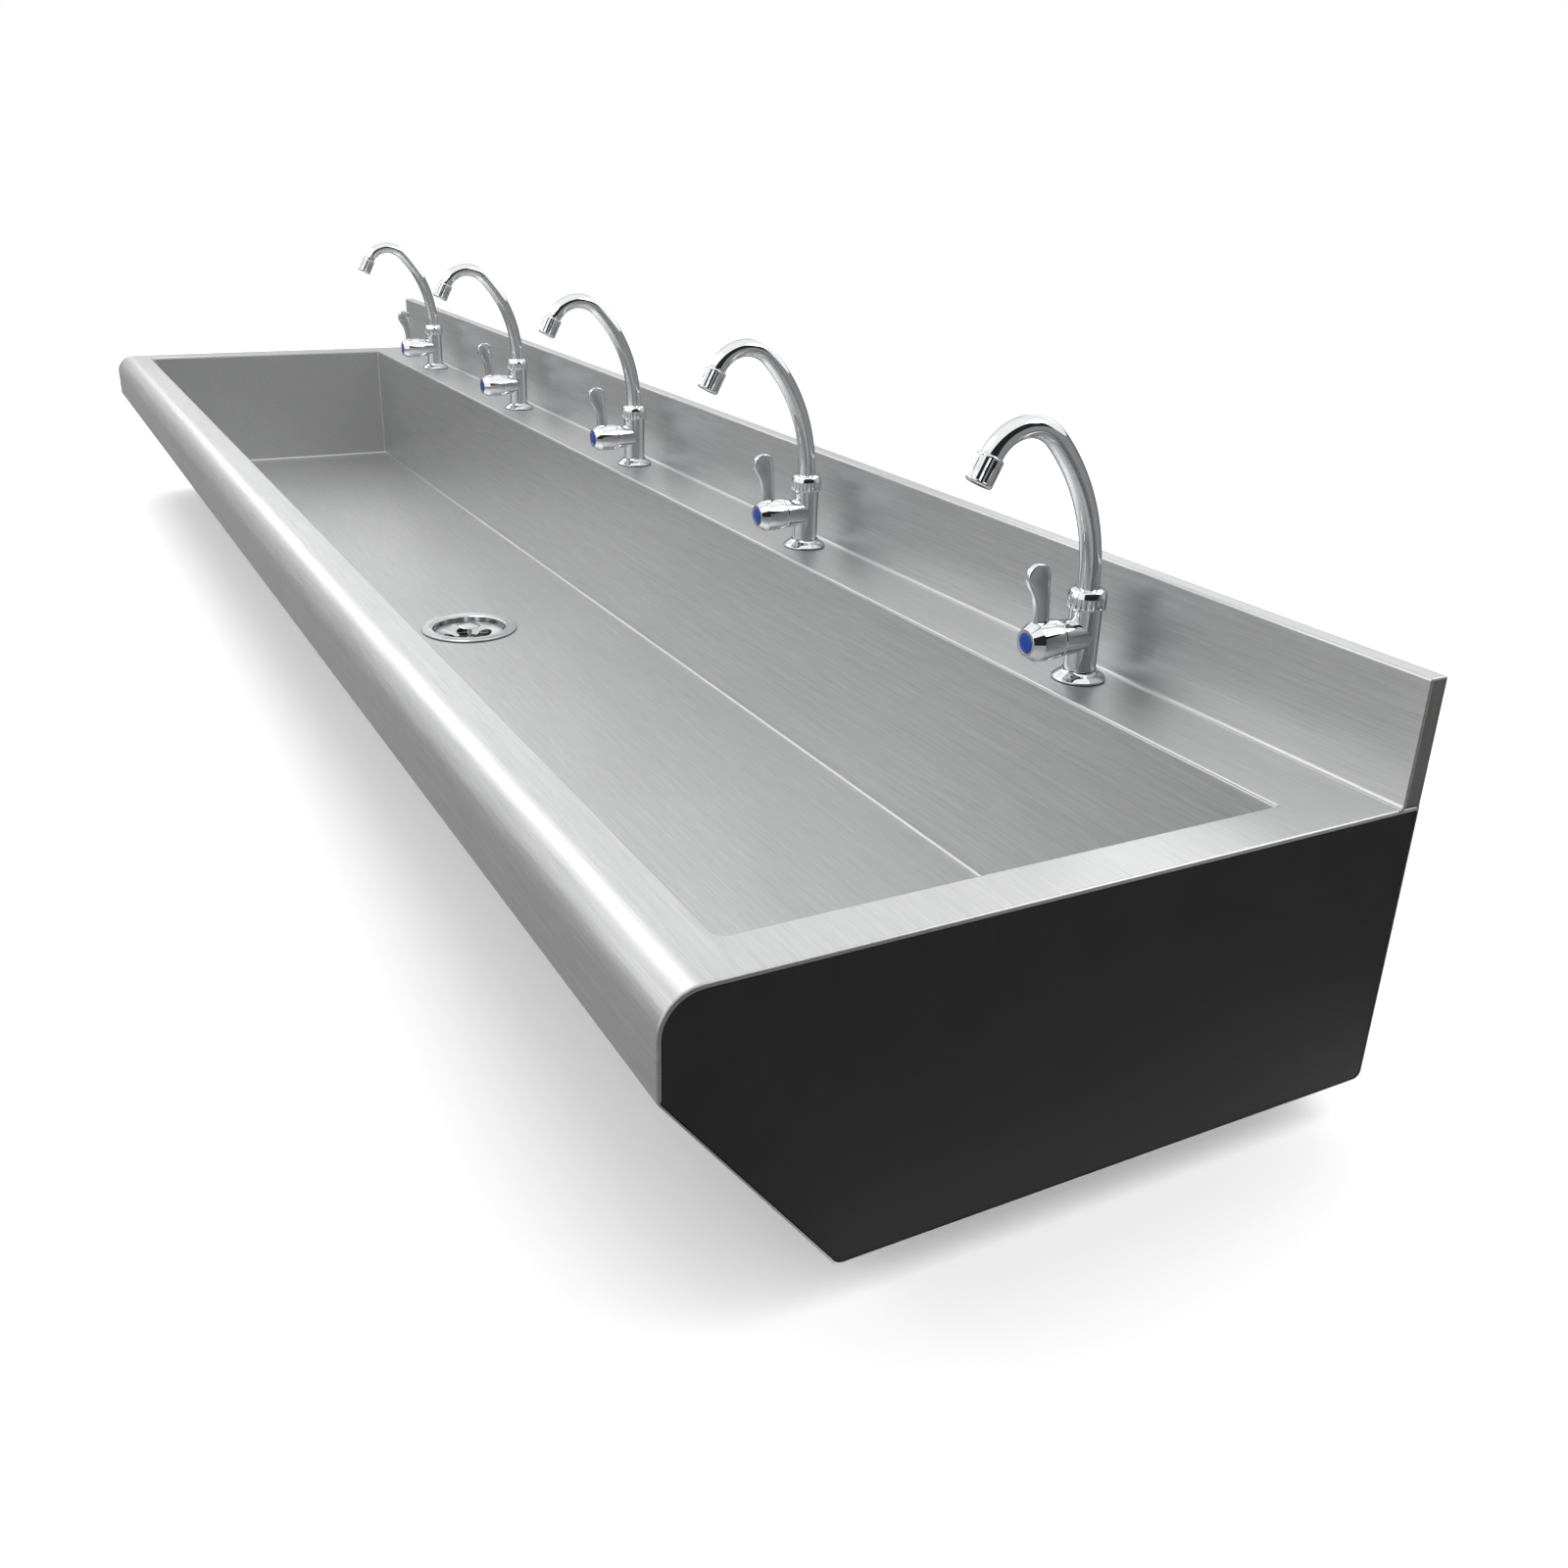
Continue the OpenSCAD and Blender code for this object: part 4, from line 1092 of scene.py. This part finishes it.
def make_index_caps(context):
    """The blue caps, domed a little beyond the hubs."""
    t = in_mm(context.scene.tap_sizes)
    foot, rise = t.cap_seat + 0.05, 1.5
    section = [(0, foot), (t.cap_r - 0.3, foot), (t.cap_r, foot + 0.35)]
    section += [(t.cap_r * math.cos(a), t.hub_front + rise * math.sin(a)) for a in quarter(10)]
    bm = bmesh.new()
    turned(bm, section, 96, closed=False, axis=along_valve(t))
    copy_to_taps(context, add_object("cap", bm, 40), "blue_cap", "handle_", "blue_index", "index_cap_")


def paint_inner_parts(context):
    """Finishes the CAD nodes: eased edges where they show, and a material on each."""
    slots = {p["node"]: p["material_slot"] for p in frame["record"]["subparts"]}
    eased = {"tap_rail", "wall_rails", "floor_supports", "waste_locknut", "tap_backnuts"}
    for name, obj in frame["nodes"].items():
        obj.data.materials.clear()
        obj.data.materials.append(finish(slots[name]))
        if name in eased:
            bevel = obj.modifiers.new("eased", "BEVEL")
            bevel.width = 0.3 * MM
            bevel.segments = 2
            bevel.limit_method = "ANGLE"
            bevel.angle_limit = math.radians(50)


# Studio


def softbox(name, size_x, size_y, place, aim, radiance):
    """A lamp with an even face of the given radiance, aimed at a point."""
    lamp = bpy.data.lights.new(name, "AREA")
    lamp.shape = "RECTANGLE"
    lamp.size = size_x
    lamp.size_y = size_y
    lamp.energy = radiance * math.pi * size_x * size_y
    obj = linked(name, lamp)
    obj.location = place
    obj.rotation_euler = (Vector(aim) - Vector(place)).to_track_quat("-Z", "Y").to_euler()


def flat_stage(name, corners, paint_it):
    """A flat stage piece from four corners."""
    mesh = bpy.data.meshes.new(name)
    mesh.from_pydata(corners, [], [(0, 1, 2, 3)])
    obj = linked(name, mesh)
    material = bpy.data.materials.new(name)
    material.use_nodes = True
    paint_it(Paint(material.node_tree))
    mesh.materials.append(material)
    return obj


def seen_rays(paint):
    """1 for rays that come from the camera, straight or by way of metal or glass."""
    path = paint.node("ShaderNodeLightPath")
    rays = path.out("Is Camera Ray") + path.out("Is Glossy Ray") + path.out("Is Transmission Ray")
    return paint.node("ShaderNodeMath", {"operation": "MINIMUM"}, rays, 1.0)


def floor_paint(paint):
    """White paper that keeps its shadows and looks white elsewhere."""
    diffuse = paint.node("ShaderNodeBsdfDiffuse", None, (0.85, 0.85, 0.85, 1))
    glow = paint.node("ShaderNodeEmission", None, (1, 1, 1, 1), seen_rays(paint) * 0.10)
    both = paint.node("ShaderNodeAddShader", None, diffuse, glow)
    paint.node("ShaderNodeOutputMaterial", None, both)


def flag(name, corners, level):
    """A grey card that only metal sees, as one would stand beside the camera."""
    def paint_it(paint):
        glow = paint.node("ShaderNodeEmission", None, (level, level, level, 1), 1.0)
        paint.node("ShaderNodeOutputMaterial", None, glow)

    obj = flat_stage(name, corners, paint_it)
    for rays in ("camera", "diffuse", "shadow", "transmission", "volume_scatter"):
        setattr(obj, f"visible_{rays}", False)


def make_floor_and_cards():
    floor_z, far = -0.150, 14.0
    card = floor_z + 0.002

    def level_corners(x0, x1, y0, y1, z):
        return [(x0, y0, z), (x1, y0, z), (x1, y1, z), (x0, y1, z)]

    def lying(name, x0, x1, y0, y1, level):
        flag(name, level_corners(x0, x1, y0, y1, card), level)

    def standing(name, start, end, top, level):
        flag(name, [(*start, card), (*end, card), (*end, top), (*start, top)], level)

    flat_stage("studio_floor", level_corners(-far, far, -far, far, floor_z), floor_paint)
    standing("flag_right", (3.2, -3.4), (3.2, 2.6), 2.6, 0.02)
    lying("card_front", -8, 1.5, -4, -0.5, 0.33)
    lying("card_right", 1.5, 3.2, -3.4, 2.6, 0.13)
    lying("card_left", -8, -1.45, -0.5, 1.5, 0.50)
    standing("skirting_front", (-8, -4), (-1, -4), 0.8, 0.42)
    standing("skirting_left", (-8, -4), (-8, -1), 0.8, 0.42)
    standing("card_corner", (-4, -3.6), (-4, -1.5), 1.6, 0.45)
    standing("card_far", (-4.6, -1), (-4.6, 3), 1.0, 0.10)
    standing("card_wall", (-4.6, 0.6), (3.2, 0.6), 0.5, 0.25)
    lying("card_rear", -1.45, 1.5, 0.15, 2.6, 0.40)


def make_lamps():
    softbox("softbox_left", 4.4, 2.4, (-4.6, 1.2, 2.3), (0.2, -0.3, 0.1), 0.20)
    softbox("softbox_back", 3.0, 1.6, (-0.9, 3.0, 2.0), (1.25, -0.05, 0.13), 1.0)
    softbox("softbox_front", 1.2, 0.8, (-0.55, -2.76, 1.4), (1.3, -0.06, 0.13), 1.5)
    softbox("softbox_end", 1.2, 1.0, (2.1, 1.4, 2.0), (1.4, -0.3, 0.13), 3.0)
    softbox("strip_front", 4.2, 0.45, (-1.1, -0.70, 0.95), (-1.1, -0.70, 0), 1.7)


def make_world(context):
    world = bpy.data.worlds.new("studio")
    world.use_nodes = True
    context.scene.world = world
    paint = Paint(world.node_tree)
    plain = 1.3
    backdrop = paint.node("ShaderNodeBackground", None, (1, 1, 1, 1), seen_rays(paint) * (1 - plain) + plain)
    paint.node("ShaderNodeOutputWorld", None, backdrop)


def make_camera(context):
    camera = bpy.data.cameras.new("camera")
    camera.sensor_width = 36.0
    camera.lens = 33.783
    camera.clip_start = 0.01
    eye = linked("camera", camera)
    eye.location = (2.06449, -0.92517, 0.58074)
    eye.rotation_euler = [math.radians(a) for a in (66.5324, -1.7345, 61.6960)]
    context.scene.camera = eye
    context.scene.view_settings.view_transform = "Standard"


def make_stage(context):
    make_floor_and_cards()
    make_lamps()
    make_world(context)
    make_camera(context)


# Operators, one for each group of pieces


class MakeDeck(bpy.types.Operator):
    """Bends the deck sheet with its nose, apron and bowl opening"""
    bl_idname = "trough.make_deck"
    bl_label = "Deck sheet"

    def execute(self, context):
        make_deck(context)
        return {"FINISHED"}


class MakeSkirt(bpy.types.Operator):
    """Bends the lower casing sheet"""
    bl_idname = "trough.make_skirt"
    bl_label = "Lower casing"

    def execute(self, context):
        make_skirt(context)
        return {"FINISHED"}


class MakeBackSheet(bpy.types.Operator):
    """Cuts the back sheet with its six wall-bolt holes"""
    bl_idname = "trough.make_back_sheet"
    bl_label = "Back sheet"

    def execute(self, context):
        make_back_sheet(context)
        return {"FINISHED"}


class MakeSplashback(bpy.types.Operator):
    """Bends the splashback and closes its ends"""
    bl_idname = "trough.make_splashback"
    bl_label = "Splashback"

    def execute(self, context):
        make_splashback(context)
        return {"FINISHED"}


class MakeEndPanels(bpy.types.Operator):
    """Cuts the two dark end panels"""
    bl_idname = "trough.make_end_panels"
    bl_label = "End panels"

    def execute(self, context):
        make_end_panels(context)
        return {"FINISHED"}


class MakeBowl(bpy.types.Operator):
    """Folds the bowl with its sloping front"""
    bl_idname = "trough.make_bowl"
    bl_label = "Bowl"

    def execute(self, context):
        make_bowl(context)
        return {"FINISHED"}


class MakeWaste(bpy.types.Operator):
    """Turns the waste's flange and cup"""
    bl_idname = "trough.make_waste"
    bl_label = "Waste"

    def execute(self, context):
        make_waste(context)
        return {"FINISHED"}


class MakeStrainer(bpy.types.Operator):
    """Presses the strainer basket and turns its knob"""
    bl_idname = "trough.make_strainer"
    bl_label = "Strainer"

    def execute(self, context):
        make_strainer(context)
        return {"FINISHED"}


class MakeTapBodies(bpy.types.Operator):
    """Turns the five columns with their side branches"""
    bl_idname = "trough.make_tap_bodies"
    bl_label = "Tap bodies"

    def execute(self, context):
        make_tap_bodies(context)
        return {"FINISHED"}


class MakeTapFlanges(bpy.types.Operator):
    """Turns the deck flanges and their gaskets"""
    bl_idname = "trough.make_tap_flanges"
    bl_label = "Deck flanges"

    def execute(self, context):
        make_tap_flanges(context)
        return {"FINISHED"}


class MakeCollars(bpy.types.Operator):
    """Turns the five fluted collars"""
    bl_idname = "trough.make_collars"
    bl_label = "Collars"

    def execute(self, context):
        make_collars(context)
        return {"FINISHED"}


class MakeSpouts(bpy.types.Operator):
    """Bends the five spouts"""
    bl_idname = "trough.make_spouts"
    bl_label = "Spouts"

    def execute(self, context):
        make_spouts(context)
        return {"FINISHED"}


class MakeAerators(bpy.types.Operator):
    """Turns the fluted aerators and their screens"""
    bl_idname = "trough.make_aerators"
    bl_label = "Aerators"

    def execute(self, context):
        make_aerators(context)
        return {"FINISHED"}


class MakeLevers(bpy.types.Operator):
    """Makes the five levers"""
    bl_idname = "trough.make_levers"
    bl_label = "Levers"

    def execute(self, context):
        make_levers(context)
        return {"FINISHED"}


class MakeIndexCaps(bpy.types.Operator):
    """Turns the five blue index caps"""
    bl_idname = "trough.make_index_caps"
    bl_label = "Index caps"

    def execute(self, context):
        make_index_caps(context)
        return {"FINISHED"}


class PaintInnerParts(bpy.types.Operator):
    """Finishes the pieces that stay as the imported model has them"""
    bl_idname = "trough.paint_inner_parts"
    bl_label = "Inner parts"

    def execute(self, context):
        paint_inner_parts(context)
        return {"FINISHED"}


class MakeStage(bpy.types.Operator):
    """Sets up the floor, the lamps and the camera"""
    bl_idname = "trough.make_stage"
    bl_label = "Studio"

    def execute(self, context):
        make_stage(context)
        return {"FINISHED"}


OPERATORS = (MakeDeck, MakeSkirt, MakeBackSheet, MakeSplashback, MakeEndPanels, MakeBowl, MakeWaste,
             MakeStrainer, MakeTapBodies, MakeTapFlanges, MakeCollars, MakeSpouts, MakeAerators, MakeLevers,
             MakeIndexCaps, PaintInnerParts, MakeStage)
GROUPS = {"casing_sizes": CasingSizes, "bowl_sizes": BowlSizes, "waste_sizes": WasteSizes,
          "tap_sizes": TapSizes, "finish_colours": FinishColours}


class TroughPanel(bpy.types.Panel):
    """Lists the trough's pieces, sizes and colours"""
    bl_idname = "VIEW3D_PT_trough_sink"
    bl_label = "Trough sink"
    bl_space_type = "VIEW_3D"
    bl_region_type = "UI"
    bl_category = "Trough sink"

    def draw(self, context):
        for operator in OPERATORS:
            self.layout.operator(operator.bl_idname)
        for key, group in GROUPS.items():
            box = self.layout.box()
            for name in group.__annotations__:
                box.prop(getattr(context.scene, key), name)


def register():
    for made in (*GROUPS.values(), *OPERATORS, TroughPanel):
        bpy.utils.register_class(made)
    for key, group in GROUPS.items():
        setattr(bpy.types.Scene, key, PointerProperty(type=group))


def unregister():
    for key in GROUPS:
        delattr(bpy.types.Scene, key)
    for made in reversed((*GROUPS.values(), *OPERATORS, TroughPanel)):
        bpy.utils.unregister_class(made)


def main():
    register()
    for operator in OPERATORS:
        group, name = operator.bl_idname.split(".")
        getattr(getattr(bpy.ops, group), name)()


if __name__ == "__main__":
    main()
